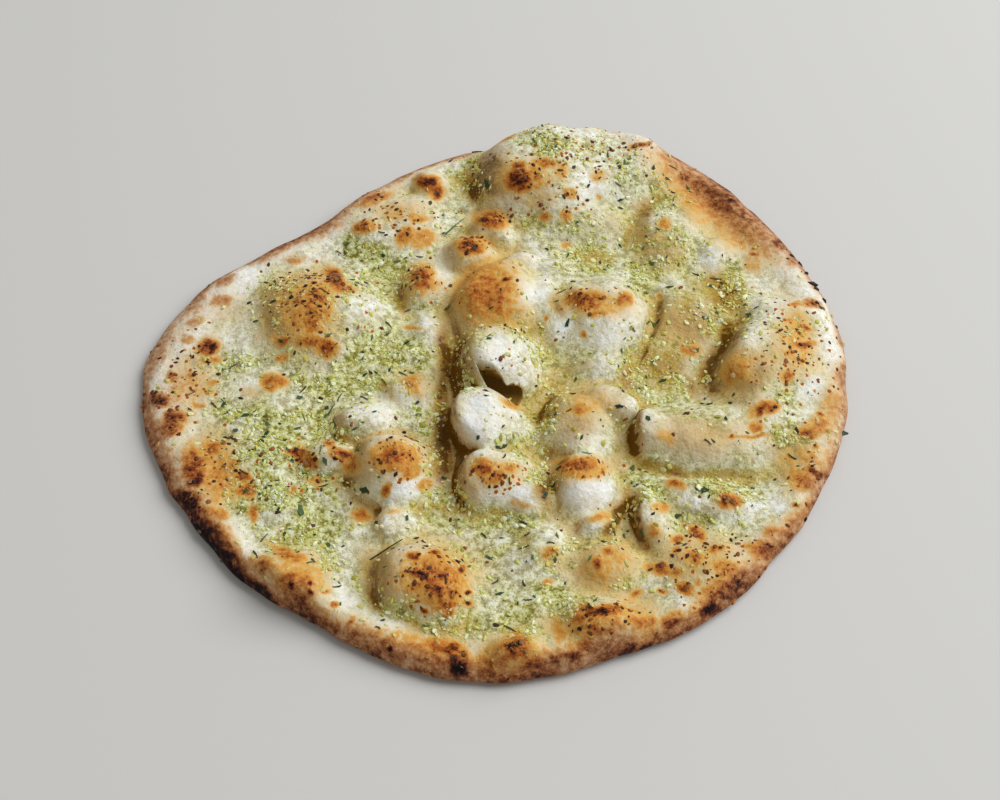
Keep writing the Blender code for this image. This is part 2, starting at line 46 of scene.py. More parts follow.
# Half widths of the bread from its middle, every 15 degrees anticlockwise from +X.
EDGE_RADII = (
    185.0, 186.5, 187.0, 190.0, 193.0, 183.5, 169.0, 159.0, 149.5, 146.0, 157.0, 174.0,
    184.5, 180.5, 175.0, 172.0, 170.2, 173.6, 177.0, 173.3, 175.6, 175.6, 177.0, 180.5,
)
# Height of the raised rim over the base and its width, every 30 degrees anticlockwise from +X.
RIM_HEIGHTS = (4.0, 3.5, 3.0, 2.0, 2.5, 2.5, 3.5, 4.0, 4.5, 4.5, 4.0, 4.0)
RIM_WIDTHS = (26.0, 26.0, 22.0, 18.0, 18.0, 28.0, 34.0, 24.0, 20.0, 20.0, 22.0, 26.0)
RIM_CREST = 0.4  # share of the rim's width at which it is highest
RIM_SOFTNESS = 0.42  # share of the rim's width over which it falls off

# Small unevenness of the outline: length and height of the waves.
EDGE_WAVES = ((17.0, 1.0), (8.0, 0.7))

BASE_THICKNESS = 7.0
EDGE_HEIGHT = 4.0  # of the outermost line of the bread over the flat underside
TOP_ROLL = 9.0  # how far in the rounded edge reaches on top
UNDER_ROLL = 11.0  # and on the underside
# Unevenness of the whole top: length and height of the soft waves, coarse to fine.
TOP_WAVES = ((38.0, 1.8), (19.0, 1.2), (9.5, 0.8), (4.5, 0.34))
# How far and over what length the outlines of the bubbles wander.
WANDER = ((30.0, 3.5), (12.0, 1.6))

# Every place below is measured in millimetres from AIM, a point a little in front of the bread's middle.
AIM = Vector((3.0, -15.0))

# Bubbles: middle, half width, half depth, turn in degrees, height, fullness, and how far the top leans.
# A fullness of 2 is a gentle hill, and a larger one gives a fuller bubble with steeper sides.
BUBBLES = (
    ("north", 27, 152, 46, 42, 0, 21.5, 4.5, -2, 3),
    ("north middle", 52, 157, 34, 38, 0, 18.0, 3.8, 0, 3),
    ("north east", 74, 158, 34, 36, 0, 15.5, 3.4, 0, 2),
    ("north front", 48, 122, 34, 18, 0, 8.0, 3.0, 0, 0),
    ("upper bead", -3, 112, 15, 14, 0, 9.0, 3.8, 0, 0),
    ("lower bead", -15, 92, 17, 17, 20, 10.5, 3.8, -1, 0),
    ("north west knob", -42, 149, 15, 12, -20, 8.0, 3.5, 0, 0),
    ("north west plateau", -60, 118, 34, 30, 0, 8.0, 3.5, 0, 0),
    ("west knuckle", -43, 70, 17, 20, 0, 9.5, 3.2, 0, 0),
    ("west", -97, 48, 42, 38, 0, 16.0, 3.6, -1, 0),
    ("west pad", -38, 43, 14, 12, 0, 4.5, 3.0, 0, 0),
    ("west nub", -44, 1, 15, 13, 0, 5.0, 3.0, 0, 0),
    ("centre", -1, 62, 26, 32, -18, 15.5, 4.0, -3, 0),
    ("centre wrinkle", 9, 86, 17, 10, 15, 9.5, 3.0, 0, 0),
    ("centre wrinkle right", 29, 84, 13, 11, 0, 5.0, 2.8, 0, 0),
    ("centre skirt", 24, 60, 16, 24, 0, 8.0, 2.6, 0, 0),
    ("middle left slope", 30, 42, 14, 18, 0, 6.0, 2.6, 0, 0),
    ("middle right", 53, 47, 32, 37, 12, 14.5, 3.6, 4, 0),
    ("middle right foot", 57, 16, 22, 18, 0, 8.5, 2.8, 1, 0),
    ("torn", 3, 14, 26, 26, -35, 20.5, 4.2, -5, -1),
    ("torn lower", -3, -24, 20, 22, 8, 16.5, 5.0, -6, 0),
    ("south middle", -2, -56, 21, 20, 15, 15.5, 4.2, -5, 0),
    ("south middle tail", 12, -68, 17, 15, 0, 9.5, 3.0, 0, 0),
    ("south right", 38, -59, 18, 23, -10, 15.5, 4.0, -3, 0),
    ("south right tail", 46, -84, 12, 13, 0, 8.0, 2.8, 0, 0),
    ("hook", 38, -25, 25, 27, -25, 14.5, 4.0, -1, 0),
    ("hook lip", 54, -11, 21, 16, -25, 14.5, 4.0, 4, -3),
    ("east ridge", 106, -29, 44, 24, 4, 12.0, 3.6, -2, -1),
    ("ridge end", 79, -30, 17, 18, 0, 12.5, 3.6, -3, 0),
    ("east shoulder", 134, -16, 30, 30, 0, 12.5, 2.8, 0, 0),
    ("east", 143, 14, 31, 40, -12, 17.5, 3.6, -7, 0),
    ("east top", 146, 44, 28, 26, 0, 10.0, 2.4, -2, 0),
    ("south west", -53, -53, 24, 25, 0, 18.5, 4.5, 2, 0),
    ("south west arm", -85, -46, 20, 15, 0, 10.5, 3.4, 0, 0),
    ("south west crown", -67, -19, 20, 17, 10, 10.0, 3.6, 0, 0),
    ("south west bead", -47, -82, 14, 13, 0, 6.0, 3.4, 0, 0),
    ("south", -34, -114, 29, 26, -22, 17.0, 4.2, -1, 0),
    ("south west rim", -96, -110, 26, 18, -35, 7.5, 3.0, 0, 0),
    ("front rim", 10, -148, 16, 12, 0, 7.0, 3.2, 0, 0),
    ("front right rim", 45, -133, 21, 15, 10, 9.0, 3.2, 0, 0),
    ("front nub", 22, -95, 14, 13, 0, 5.5, 3.2, 0, 0),
    ("front right nub", 52, -105, 18, 17, 0, 9.0, 3.4, 0, 0),
    ("flap", 72, -79, 12, 24, 14, 9.5, 3.4, -3, 0),
    ("flap field", 98, -66, 36, 20, -5, 9.0, 3.0, 0, 0),
    ("south east field", 92, -100, 30, 22, 20, 5.0, 2.6, 0, 0),
    ("north east ridge", 97, 118, 22, 38, -8, 8.5, 3.2, 0, 0),
    ("north east bead", 118, 97, 14, 14, 0, 4.5, 3.0, 0, 0),
    ("east field", 96, 50, 24, 30, -10, 5.0, 2.6, 0, 0),
    ("west field", -122, -42, 36, 24, 0, 5.5, 2.6, 0, 0),
    ("south west field", -105, -74, 28, 20, 0, 5.0, 2.6, 0, 0),
)
FOOT_LEVEL = 2.8  # the skirt of each bubble falls to exp(-FOOT_LEVEL) of its height at its half width
MERGE_SOFTNESS = 1.6  # how much the valleys between the bubbles are filled
LEAST_TOP = 0.5  # of the top over the outermost line of the bread
LOW_SOFTNESS = 1.0  # how softly the lowest places are rounded off at that height

CREASE_END = 2.5  # half widths over which a crease fades towards its ends
# Creases: half width, depth and the points of the line along the bottom of each.
CREASES = (
    ("right of middle right", 4.0, 5.0, ((88, 72), (84, 55), (78, 38), (71, 22), (64, 4))),
    ("left of east", 7.0, 6.0, ((124, 40), (112, 16), (101, -2))),
    ("left of torn", 6.0, 5.5, ((-27, 52), (-28, 5), (-27, -35), (-18, -78))),
    ("under hook", 4.5, 9.0, ((66, -22), (65, -34), (62, -43))),
    ("east hollow", 11.0, 6.0, ((88, 34), (82, 14), (92, -4))),
    ("front of east ridge", 3.0, 3.5, ((62, -44), (80, -49), (92, -55), (112, -53), (128, -56))),
    ("left of flap", 2.8, 6.0, ((57, -62), (61, -80), (67, -99))),
    ("beside the beads", 3.0, 3.0, ((-14, 112), (-2, 99), (8, 101))),
    ("right of torn", 5.0, 3.0, ((30, 20), (22, -8), (16, -30))),
    ("left of north", 7.0, 3.0, ((-18, 165), (-16, 140), (-20, 122))),
    ("right of north", 7.0, 3.0, ((100, 150), (82, 132), (70, 112))),
)

# The tear in the torn bubble: its line, the hollow under it and the mouth cut through the crust.
TEAR_START = Vector((-13.0, 5.4))
TEAR_END = Vector((12.0, -15.0))
TEAR_HOLLOW_LENGTH_SHARE = 0.8  # of the tear
TEAR_HOLLOW_HALF_WIDTH = 7.5
TEAR_HOLLOW_HALF_HEIGHT = 5.0
TEAR_HOLLOW_MIDDLE = 13.0  # over the underside
TEAR_HOLLOW_SHIFT = 2.5  # sideways, in under the upper lip
TEAR_MOUTH_HALF_WIDTH = 3.0
TEAR_MOUTH_TOP = 40.0  # over the underside, above the crust
TEAR_STEPS = 11  # along each edge of the mouth
TEAR_RAGGEDNESS = 0.9
TEAR_BLUNTNESS = 0.45  # 1 gives long pointed ends, and less gives blunter ones
TEAR_WALL = 1.04  # a point within this share of the hollow's half widths is on its wall

# Random waves: points on each side of the lattice, how fast a point's weight falls off, and the last gain.
WAVE_LATTICE = 128
WAVE_FALL = 1.6
WAVE_GAIN = 1.5

# Rings of points on the whole top, on its rounded edge, on the lower edge and on the flat underside.
TOP_RINGS = 144
ROLL_RINGS = 8
UNDER_RINGS = 6
FLAT_RINGS = 36
FLAT_INSET = 2.0  # of the flat underside's grid from the lower edge's last ring

# The photo's camera: how far it stands from AIM, how high it looks down and its lens.
CAMERA_DISTANCE = 724.0
CAMERA_ELEVATION = math.radians(53.4)
CAMERA_LENS_MM = 50.0
CAMERA_OUT = Vector((0.0, -math.cos(CAMERA_ELEVATION), math.sin(CAMERA_ELEVATION)))
EYE = AIM.to_3d() + CAMERA_OUT * CAMERA_DISTANCE
# Places seen in the photo are measured on a plane this high, which is about the middle height of the crust.
SEEN_HEIGHT = 8.0

# Browned spots as the photo shows them: middle, half width, half depth, turn in degrees, and how brown the
# middle is. About 0.2 is tan, 0.5 is orange-brown, 0.8 is dark brown and 1 is burnt black.
NORTH_SPOTS = (
    (11, 155, 9, 11, 0, 0.86), (12, 165, 6, 4, 0, 0.7), (27, 168, 10, 5, 0, 0.6), (22, 158, 5, 7, 0, 0.55),
    (20, 140, 16, 16, 0, 0.24), (37, 125, 4, 7, 0, 0.5), (25, 124, 5, 5, 0, 0.46), (37, 103, 5, 4, 0, 0.5),
    (41, 143, 5, 6, 0, 0.46), (36, 160, 6, 10, 0, 0.36), (57, 157, 6, 7, 0, 0.34), (56, 139, 2, 2, 0, 0.55),
    (93, 119, 5, 6, 0, 0.46), (82, 108, 12, 16, 10, 0.22), (83, 183, 9, 3, 15, 0.68),
    (2, 190, 8, 4, 40, 0.5), (108, 157, 5, 5, 0, 0.68), (119, 156, 12, 8, -45, 0.46),
    (133, 138, 7, 6, -35, 0.78), (137, 125, 4, 9, 15, 0.64), (138, 112, 3, 6, 0, 0.5),
    (127, 120, 8, 12, 0, 0.34), (98, 172, 5, 10, 35, 0.42), (106, 170, 12, 4, -42, 0.5),
    (132, 136, 11, 8, -50, 0.5), (156, 103, 6, 5, -30, 0.7), (165, 92, 6, 8, -20, 0.5),
    (143, 95, 3, 2, -30, 0.62), (141, 88, 8, 8, 0, 0.34), (-43, 152, 9, 7, -30, 0.84),
    (-36, 144, 6, 6, 0, 0.76), (-72, 139, 14, 5, 25, 0.56), (-20, 178, 11, 3, 20, 0.6),
    (-55, 158, 9, 3, 30, 0.52), (-76, 116, 7, 6, 0, 0.72), (-53, 109, 5, 10, -15, 0.52),
    (-44, 108, 9, 9, 0, 0.46), (-47, 123, 8, 5, 0, 0.42), (-6, 121, 10, 8, 0, 0.74),
    (-17, 101, 10, 7, -25, 0.76),
)
WEST_SPOTS = (
    (-43, 77, 8, 11, 0, 0.64), (-91, 78, 6, 9, 25, 0.84), (-83, 70, 7, 4, -20, 0.6),
    (-103, 64, 9, 10, 0, 0.46), (-101, 47, 8, 12, 0, 0.58), (-98, 64, 8, 12, 20, 0.5),
    (-117, 34, 7, 5, 0, 0.54), (-101, 33, 10, 6, 0, 0.58), (-91, 29, 7, 8, 25, 0.66),
    (-114, 22, 4, 4, 0, 0.5), (-154, 29, 6, 6, 0, 0.88), (-151, 20, 8, 3, 0, 0.42),
    (-165, 34, 5, 4, 0, 0.42), (-47, 42, 6, 2, 0, 0.42), (5, 77, 3, 2, 0, 0.9), (0, 57, 5, 10, -28, 0.6),
    (-14, 66, 9, 12, -20, 0.44), (-115, 92, 8, 5, 0, 0.42), (-130, 96, 6, 3, 30, 0.5),
    (-152, 76, 9, 6, 25, 0.44), (-152, 62, 8, 5, 15, 0.46), (-165, 48, 8, 6, 20, 0.38),
    (-177, 24, 4, 8, -10, 0.46), (-171, 9, 4, 5, 0, 0.64), (-162, 9, 4, 3, 0, 0.42),
    (-176, -5, 9, 5, -10, 0.76), (-166, -17, 7, 6, 0, 0.8), (-169, -24, 8, 7, -20, 0.74),
    (-151, -2, 4, 3, 0, 0.44), (-154, -9, 5, 2, 0, 0.46), (-149, 4, 4, 3, 0, 0.4),
    (-158, -13, 3, 2, 0, 0.46), (-117, 6, 7, 6, 0, 0.58), (-128, -1, 9, 5, 0, 0.24), (-45, 6, 6, 5, 0, 0.5),
)
SOUTH_WEST_SPOTS = (
    (-101, -39, 6, 4, -20, 0.8), (-96, -44, 5, 4, -30, 0.7), (-80, -40, 9, 5, -25, 0.72),
    (-75, -47, 7, 7, 0, 0.5), (-87, -33, 4, 3, 0, 0.6), (-52, -41, 15, 12, 0, 0.62),
    (-45, -49, 7, 5, 0, 0.5), (-56, -61, 3, 4, 0, 0.64), (-38, -58, 5, 3, 0, 0.4),
    (-68, -76, 6, 4, -35, 0.64), (-52, -73, 5, 3, 0, 0.3), (-120, -74, 3, 6, 0, 0.62),
    (-92, -56, 4, 3, 0, 0.46), (-102, -61, 3, 3, 0, 0.46), (-152, -47, 8, 15, 15, 0.72),
    (-150, -53, 5, 8, 0, 0.86), (-143, -36, 7, 6, 0, 0.62), (-134, -46, 5, 5, 0, 0.5),
    (-127, -53, 6, 4, -30, 0.7), (-124, -61, 6, 4, 0, 0.62), (-138, -58, 3, 3, 0, 0.5),
    (-146, -72, 7, 6, -40, 0.66), (-137, -74, 5, 8, 30, 0.5), (-134, -88, 5, 7, 0, 0.6),
    (-112, -103, 8, 7, 0, 0.6), (-101, -96, 12, 4, -25, 0.54), (-97, -113, 12, 11, 0, 0.62),
    (-93, -124, 9, 6, -35, 0.72), (-97, -112.5, 2.4, 2.4, 0, 1.0), (-88.5, -112, 1.8, 1.8, 0, 0.97),
    (-89, -118.5, 2.2, 2.8, 20, 1.0), (-91, -130, 6, 4, 0, 0.84), (-77, -125, 2.4, 2, 30, 0.74),
    (-80, -117, 2.4, 1.8, 0, 0.68), (-68, -133, 3, 2.4, 30, 0.74), (-66, -141, 14, 6, -25, 0.5),
    (-49, -147, 1.8, 1.8, 0, 0.92), (-28, -146, 9, 6, 0, 0.62), (-18, -156, 7, 10, 15, 0.98),
    (-22, -147, 5, 3, 0, 0.9), (-31, -110, 18, 14, 0, 0.6), (-28, -121, 13, 7, 0, 0.5),
    (-36, -108.5, 9, 2, -12, 0.9), (-26, -108, 3, 2, 0, 0.86), (-30, -115.5, 4.5, 2.6, -15, 0.92),
    (-23, -117, 3, 2, 0, 0.86), (-16, -117, 2, 1.8, 0, 0.9), (-26, -123, 6, 1.8, -10, 0.88),
    (-40, -98, 4, 2.4, 0, 0.78), (-30, -98, 2.4, 2.4, 0, 0.78), (-19, -105, 2.4, 2, -30, 0.86),
    (-24, -128, 3, 1.6, 0, 0.8), (-35, -127, 2.5, 1.6, 10, 0.8), (-17, -124, 3, 1.8, -20, 0.84),
)
SOUTH_EAST_SPOTS = (
    (7, -146, 9, 8, 0, 0.86), (14, -155, 7, 3, 0, 0.76), (-2, -155, 7, 5, 0, 0.54),
    (33, -150, 9, 4, 20, 0.74), (47, -127, 12, 4, -5, 0.88), (37, -131, 6, 4, 30, 0.66),
    (47, -137, 14, 7, 0, 0.54), (40, -144, 12, 5, 15, 0.54), (27, -138, 4, 8, 0, 0.42),
    (95, -127, 7, 5, 35, 0.84), (98, -123.5, 2, 2, 0, 0.98), (66, -132, 8, 5, 10, 0.56),
    (80, -133, 8, 5, 20, 0.68), (77, -106, 9, 4, -10, 0.62), (77, -104, 2.4, 1.8, 0, 0.88),
    (86, -115, 6, 3, -35, 0.76), (92, -113, 2, 2, 0, 0.64), (76, -119, 2.4, 1.4, 0, 0.72),
    (64, -120, 5, 2, 15, 0.56), (45, -102, 4, 5, 0, 0.62), (52, -96, 6, 4, 0, 0.54),
    (24, -96, 5, 4, 0, 0.52), (24, -111, 3, 2, 0, 0.4), (78, -73, 5, 4, 0, 0.52), (86, -58, 5, 3, 0, 0.6),
    (75, -85, 5, 5, 0, 0.4), (111, -67, 6, 6, 0, 0.74), (86, -88, 4, 3, 30, 0.62),
    (95, -86, 4, 5, 20, 0.64), (84, -95, 2, 2, 0, 0.62), (92, -99, 7, 4, 0, 0.58),
    (103, -95, 5, 4, 0, 0.56), (119, -93, 3, 2, 0, 0.5), (108, -105, 7, 6, 0, 0.54),
    (112, -108, 3, 2, 0, 0.74), (128, -92.5, 2.2, 1.8, 0, 1.0), (125, -96, 8, 6, -20, 0.7),
    (131, -84, 5, 6, -20, 0.56), (141, -86, 5, 6, -45, 0.6), (143, -71, 2.2, 1.8, 0, 0.9),
    (38, -46, 12, 6, 0, 0.7), (35, -52, 10, 5, 0, 0.5), (42, -53.5, 2, 1.2, 0, 0.9),
    (52, -50, 1.8, 1.8, 0, 0.8), (-9, -47, 7, 6, 0, 0.68), (-3, -54, 7, 4, 0, 0.62),
    (4, -49, 9, 5, 0, 0.44), (10, -70, 7, 3, 0, 0.34), (48, -77, 7, 4, 0, 0.42), (6, -7, 7, 3, -30, 0.42),
)
EAST_SPOTS = (
    (46, 62, 13, 8, 0, 0.68), (67, 61, 5, 6, 0, 0.7), (52, 53, 9, 5, 0, 0.42), (45, 37, 2.4, 3, 0, 0.5),
    (88, 64.5, 2.4, 2.4, 0, 0.58), (24, 49, 2, 3, 0, 0.54), (100, 26, 6, 5, 0, 0.52),
    (96, 40, 14, 16, 0, 0.2), (40, -12, 6, 6, 0, 0.52), (84, -30, 6, 8, 20, 0.32),
    (124, 14, 10, 18, -25, 0.42), (150, 10, 4, 4, 0, 0.58), (150, 25, 2.4, 2.4, 0, 0.54),
    (157, 20, 5, 4, 0, 0.42), (160, 30, 8, 3, 5, 0.66), (163, 42, 6, 3, 0, 0.62), (168, 60, 6, 4, 0, 0.64),
    (155, 48, 2, 2, 0, 0.54), (135, -12, 8, 5, 25, 0.68), (133, -15, 1.6, 1.8, 0, 0.97),
    (130, -22, 5, 4, 0, 0.6), (128, -28, 11, 2, 5, 0.46), (155, -26, 6, 5, 0, 0.62),
    (163, -21, 7, 6, 0, 0.48), (164, -15, 1.6, 1.6, 0, 0.84), (150, -55, 8, 9, 0, 0.54),
    (158, -51, 8, 4, -20, 0.74), (148.5, -55, 1.4, 2, 0, 0.84), (155, -42, 4, 2, 0, 0.52),
    (158, -35, 2, 3, 0, 0.56), (118, -29, 1.6, 2, 0, 0.95), (160, 60, 4, 3, 0, 0.5),
)
SPOTS = NORTH_SPOTS + WEST_SPOTS + SOUTH_WEST_SPOTS + SOUTH_EAST_SPOTS + EAST_SPOTS
# Wide soft browning under the spots: middle, half width, half depth, turn and strength.
BROAD_TOAST = (
    (-6, 66, 25, 25, -20, 0.6), (125, 137, 54, 20, -52, 0.66), (-103, 52, 20, 30, 0, 0.5),
    (104, -32, 38, 16, 0, 0.17), (46, -8, 24, 13, -20, 0.3), (52, -103, 26, 17, 0, 0.34),
    (-32, -108, 26, 21, 0, 0.4), (-56, -43, 17, 12, 0, 0.38), (154, 34, 16, 40, 0, 0.34),
    (0, -50, 19, 13, 0, 0.38), (40, -50, 18, 12, 0, 0.42), (-97, -108, 22, 19, 0, 0.42),
    (48, -134, 28, 13, 0, 0.42), (14, 156, 20, 18, 0, 0.42), (100, -98, 30, 20, 0, 0.28),
    (-162, 2, 18, 34, 0, 0.32), (-150, 62, 20, 30, 25, 0.26), (-57, 130, 26, 16, 15, 0.26),
    (55, 60, 26, 11, 0, 0.34), (-140, -52, 17, 30, 20, 0.4), (92, 44, 22, 22, 0, 0.2),
    (-10, 118, 12, 9, 0, 0.4), (-17, 98, 13, 9, 0, 0.4), (-43, 76, 12, 14, 0, 0.4),
    (-44, 4, 12, 10, 0, 0.3), (150, -45, 16, 22, 0, 0.32), (8, -150, 22, 10, 0, 0.4),
    (-30, -148, 22, 9, 0, 0.4),
)

# Toast of the rim's outer edge and how far it reaches in, every 15 degrees anticlockwise from +X.
RIM_TOAST = (
    0.54, 0.54, 0.58, 0.6, 0.55, 0.45, 0.42, 0.52, 0.58, 0.58, 0.5, 0.44,
    0.5, 0.72, 0.95, 1.0, 0.86, 0.68, 0.7, 0.8, 0.72, 0.66, 0.62, 0.58,
)
RIM_TOAST_REACH = (
    9.0, 7.0, 7.0, 12.0, 12.0, 7.0, 5.0, 7.0, 8.0, 9.0, 9.0, 12.0,
    12.0, 10.0, 9.0, 8.0, 9.0, 9.0, 9.0, 9.0, 9.0, 10.0, 10.0, 10.0,
)
# How far in from the edge the crust has no butter on it, every 30 degrees.
RIM_DRY_REACH = (9.0, 20.0, 17.0, 6.0, 14.0, 24.0, 24.0, 10.0, 7.0, 6.0, 6.0, 8.0)

# Butter that soaked in and turned golden, and painted shade in the clefts and on the left flanks of the
# bubbles: middle, half width, half depth, turn and strength.
GOLDEN_AND_SHADED_ZONES = (
    (-4, 158, 11, 26, 0, 0.85), (-28, 24, 8, 28, 0, 0.75), (-29, -30, 8, 36, 0, 0.85),
    (116, 16, 11, 22, -22, 0.85), (131, 10, 15, 24, -25, 0.62), (79, 131, 7, 12, -20, 0.6),
    (58, -77, 4, 17, -12, 0.9), (26, -12, 7, 20, -35, 0.6), (-60, -108, 9, 17, 0, 0.6),
    (-116, 52, 15, 24, 0, 0.85), (-14, -60, 5, 12, 20, 0.5), (29, -132, 5, 9, 0, 0.6),
    (-23, 102, 4, 14, 0, 0.7), (-14, 122, 4, 9, 0, 0.7), (-51, 62, 4, 14, 0, 0.6), (34, 60, 4, 11, 0, 0.7),
    (-58, 0, 5, 14, 25, 0.5), (72, 112, 4, 20, 0, 0.5), (100, 2, 8, 10, 0, 0.6), (24, -62, 5, 16, 0, 0.7),
    (28, -100, 10, 9, 0, 0.35), (-30, -72, 12, 5, 0, 0.5), (66, 10, 5, 18, -28, 0.6),
    (122, 44, 6, 10, 0, 0.7), (66, -32, 5, 12, 0, 0.8), (100, -28, 42, 18, 0, 0.46),
    (38, -16, 22, 18, 0, 0.52), (54, -98, 20, 14, 0, 0.35), (-30, 0, 5, 40, 0, 0.7),
    (120, 130, 14, 34, 32, 0.4), (100, 44, 22, 24, 0, 0.62), (90, -94, 28, 20, 0, 0.45),
    (60, 120, 40, 22, 0, 0.3), (92, 96, 22, 24, 0, 0.45), (86, 16, 20, 20, 0, 0.55),
    (120, 66, 16, 18, 0, 0.64), (52, 92, 16, 10, 0, 0.45),
)
# Places that stayed floury and white, and painted light on the lit sides of the bubbles: middle, half width,
# half depth, turn and strength.
FLOURY_AND_LIT_ZONES = (
    (-10, -19, 13, 14, 0, 0.95), (3, 28, 14, 8, 0, 0.7), (-62, -8, 16, 9, 0, 0.8),
    (-43, -58, 16, 9, 0, 0.95), (-69, -58, 12, 7, 0, 0.8), (-28, -124, 12, 5, 0, 0.85),
    (8, -62, 12, 9, 0, 0.85), (44, -68, 13, 9, 0, 0.85), (56, 36, 18, 12, 0, 0.75), (32, 44, 9, 11, 0, 0.7),
    (22, 72, 10, 12, 0, 0.8), (55, 146, 18, 14, 0, 0.65), (-33, 88, 6, 13, 0, 0.85),
    (-64, 108, 9, 6, 0, 0.5), (-75, 54, 12, 14, 0, 0.5), (-128, 12, 14, 12, 0, 0.5),
    (118, 84, 7, 10, 0, 0.7), (160, -4, 8, 14, 0, 0.7), (143, 58, 12, 8, 0, 0.5), (112, -78, 10, 6, 0, 0.6),
    (-52, -134, 14, 4, -25, 0.85), (-72, -118, 6, 12, 20, 0.8), (-122, -88, 8, 12, 30, 0.7),
    (-140, 72, 14, 12, 30, 0.6), (44, -30, 14, 8, 0, 0.6), (-96, 118, 12, 8, 30, 0.5),
    (30, 112, 16, 6, 0, 0.5), (0, 176, 8, 5, 0, 0.4), (130, -64, 12, 6, 0, 0.5),
)
# Minced garlic and herb butter: middle, half width, half depth, turn and density.
GARLIC_ZONES = (
    (-16, 152, 10, 22, 0, 0.5), (26, 184, 15, 10, 0, 0.7), (50, 172, 28, 18, 0, 0.22),
    (72, 158, 11, 20, 0, 0.55), (96, 142, 14, 16, 0, 0.7), (40, 116, 28, 9, 0, 0.4),
    (52, 91, 15, 10, 0, 0.9), (92, 96, 20, 24, 0, 0.65), (80, 76, 8, 14, 0, 0.7),
    (122, 68, 12, 13, 0, 0.95), (116, 52, 8, 12, 0, 0.85), (134, 50, 10, 10, 0, 0.5),
    (101, 60, 8, 8, 0, 0.5), (82, 12, 16, 14, 0, 1.0), (92, 27, 14, 14, 0, 0.4), (72, 27, 5, 16, -28, 0.7),
    (106, 12, 7, 10, 0, 0.5), (11, 38, 12, 9, 0, 0.9), (17, 24, 9, 9, 0, 0.4), (-8, 36, 18, 5, 0, 0.6),
    (-75, 99, 13, 12, 0, 0.8), (-62, 84, 17, 10, -38, 0.7), (-48, 62, 8, 12, 0, 0.35),
    (-122, 66, 13, 18, 0, 0.6), (-80, 50, 18, 24, 0, 0.5), (-70, 27, 12, 18, 0, 0.8),
    (-136, 20, 20, 8, 0, 0.35), (-118, 12, 26, 10, 0, 0.35), (-76, 5, 28, 12, 0, 0.75),
    (-116, -15, 30, 9, 0, 0.9), (-116, -35, 22, 16, 0, 0.9), (-93, -26, 18, 9, 0, 0.7),
    (-108, -62, 28, 14, 0, 0.9), (-96, -80, 24, 12, 0, 0.65), (-50, 21, 14, 10, 0, 0.55),
    (-44, -12, 9, 16, 25, 0.55), (-33, -22, 4, 22, 0, 0.5), (-28, -66, 10, 9, 0, 0.85),
    (-17, 8, 6, 10, 0, 0.9), (-12, -78, 20, 7, 0, 0.55), (6, -76, 15, 8, 0, 0.7),
    (20, -96, 22, 14, 0, 0.35), (-6, -100, 16, 16, 0, 0.35), (30, -118, 14, 8, 0, 0.7),
    (4, -126, 18, 12, 0, 0.4), (-30, -133, 24, 6, -10, 0.6), (-51, -124, 11, 8, 0, 0.6),
    (-80, -96, 6, 12, 20, 0.5), (-71, -112, 6, 10, 20, 0.4), (21, -20, 7, 22, -33, 0.45),
    (15, -36, 10, 9, 0, 0.4), (22, -52, 5, 16, 0, 0.5), (70, -63, 11, 6, 0, 0.9),
    (110, -56, 17, 6, -5, 0.95), (88, -51, 14, 3, 0, 0.6), (101, -78, 15, 5, 0, 0.9),
    (59, -79, 4, 17, -12, 0.8), (45, -90, 11, 5, 0, 0.6), (62, -93, 5, 8, 0, 0.5),
    (151, -12, 6, 16, 0, 0.75), (148, -30, 6, 8, 0, 0.95), (152, 46, 16, 7, 0, 0.45),
    (45, -26, 14, 9, 0, 0.25), (98, -14, 18, 6, 0, 0.35), (50, 30, 26, 14, 0, 0.15),
    (0, -20, 14, 14, 0, 0.15), (60, -114, 10, 4, 0, 0.4), (14, -140, 10, 10, 0, 0.5),
)
# Small burnt specks and freckles of toast: middle, half width, half depth, turn and density.
FRECKLE_ZONES = (
    (50, 178, 30, 20, 0, 1.0), (34, 142, 20, 16, 0, 0.5), (-106, 62, 16, 20, 0, 0.9),
    (-58, 126, 20, 14, 0, 0.7), (-162, 8, 14, 26, 0, 0.8), (152, 25, 18, 32, 0, 0.8),
    (98, -96, 26, 20, 0, 0.7), (-110, -48, 30, 20, 0, 0.6), (-134, -50, 14, 18, 0, 0.8),
    (0, -52, 14, 9, 0, 0.9), (40, -52, 14, 8, 0, 0.6), (-32, -108, 18, 14, 0, 0.7),
    (48, -130, 14, 8, 0, 0.6), (-52, -42, 14, 12, 0, 0.7), (-6, 120, 9, 7, 0, 0.7),
    (-17, 101, 10, 8, 0, 0.8), (-43, 78, 8, 12, 0, 0.7), (46, 62, 14, 9, 0, 0.6),
    (148, -10, 10, 10, 0, 0.6), (-95, 32, 14, 8, 0, 0.5), (4, 18, 14, 10, 0, 0.4),
    (150, -48, 10, 14, 0, 0.4), (20, 176, 18, 12, 0, 0.6), (-75, 60, 16, 20, 0, 0.3),
)

# Waves that bend the outlines of the spots, the zones and the small blisters: length and size.
SPOT_BENDS = ((7.0, 1.8), (3.0, 0.9))
ZONE_BENDS = ((18.0, 5.0), (6.0, 2.0))
BLISTER_BENDS = ((8.0, 1.6),)
BLISTER_COUNT = 260
BLISTER_SPREAD = 175.0
BLISTER_WIDTHS = (3.0, 8.0)  # half widths
BLISTER_DEPTH_SHARES = (0.6, 1.0)  # of its half width
BLISTER_SLOPE = 0.16  # height over half width
BLISTER_LARGEST = 8.0  # half width past which a blister gets no higher
BLISTER_FULLNESS = 2.6
BLISTER_END = 2.5  # half widths from its middle, where its height is as good as nothing
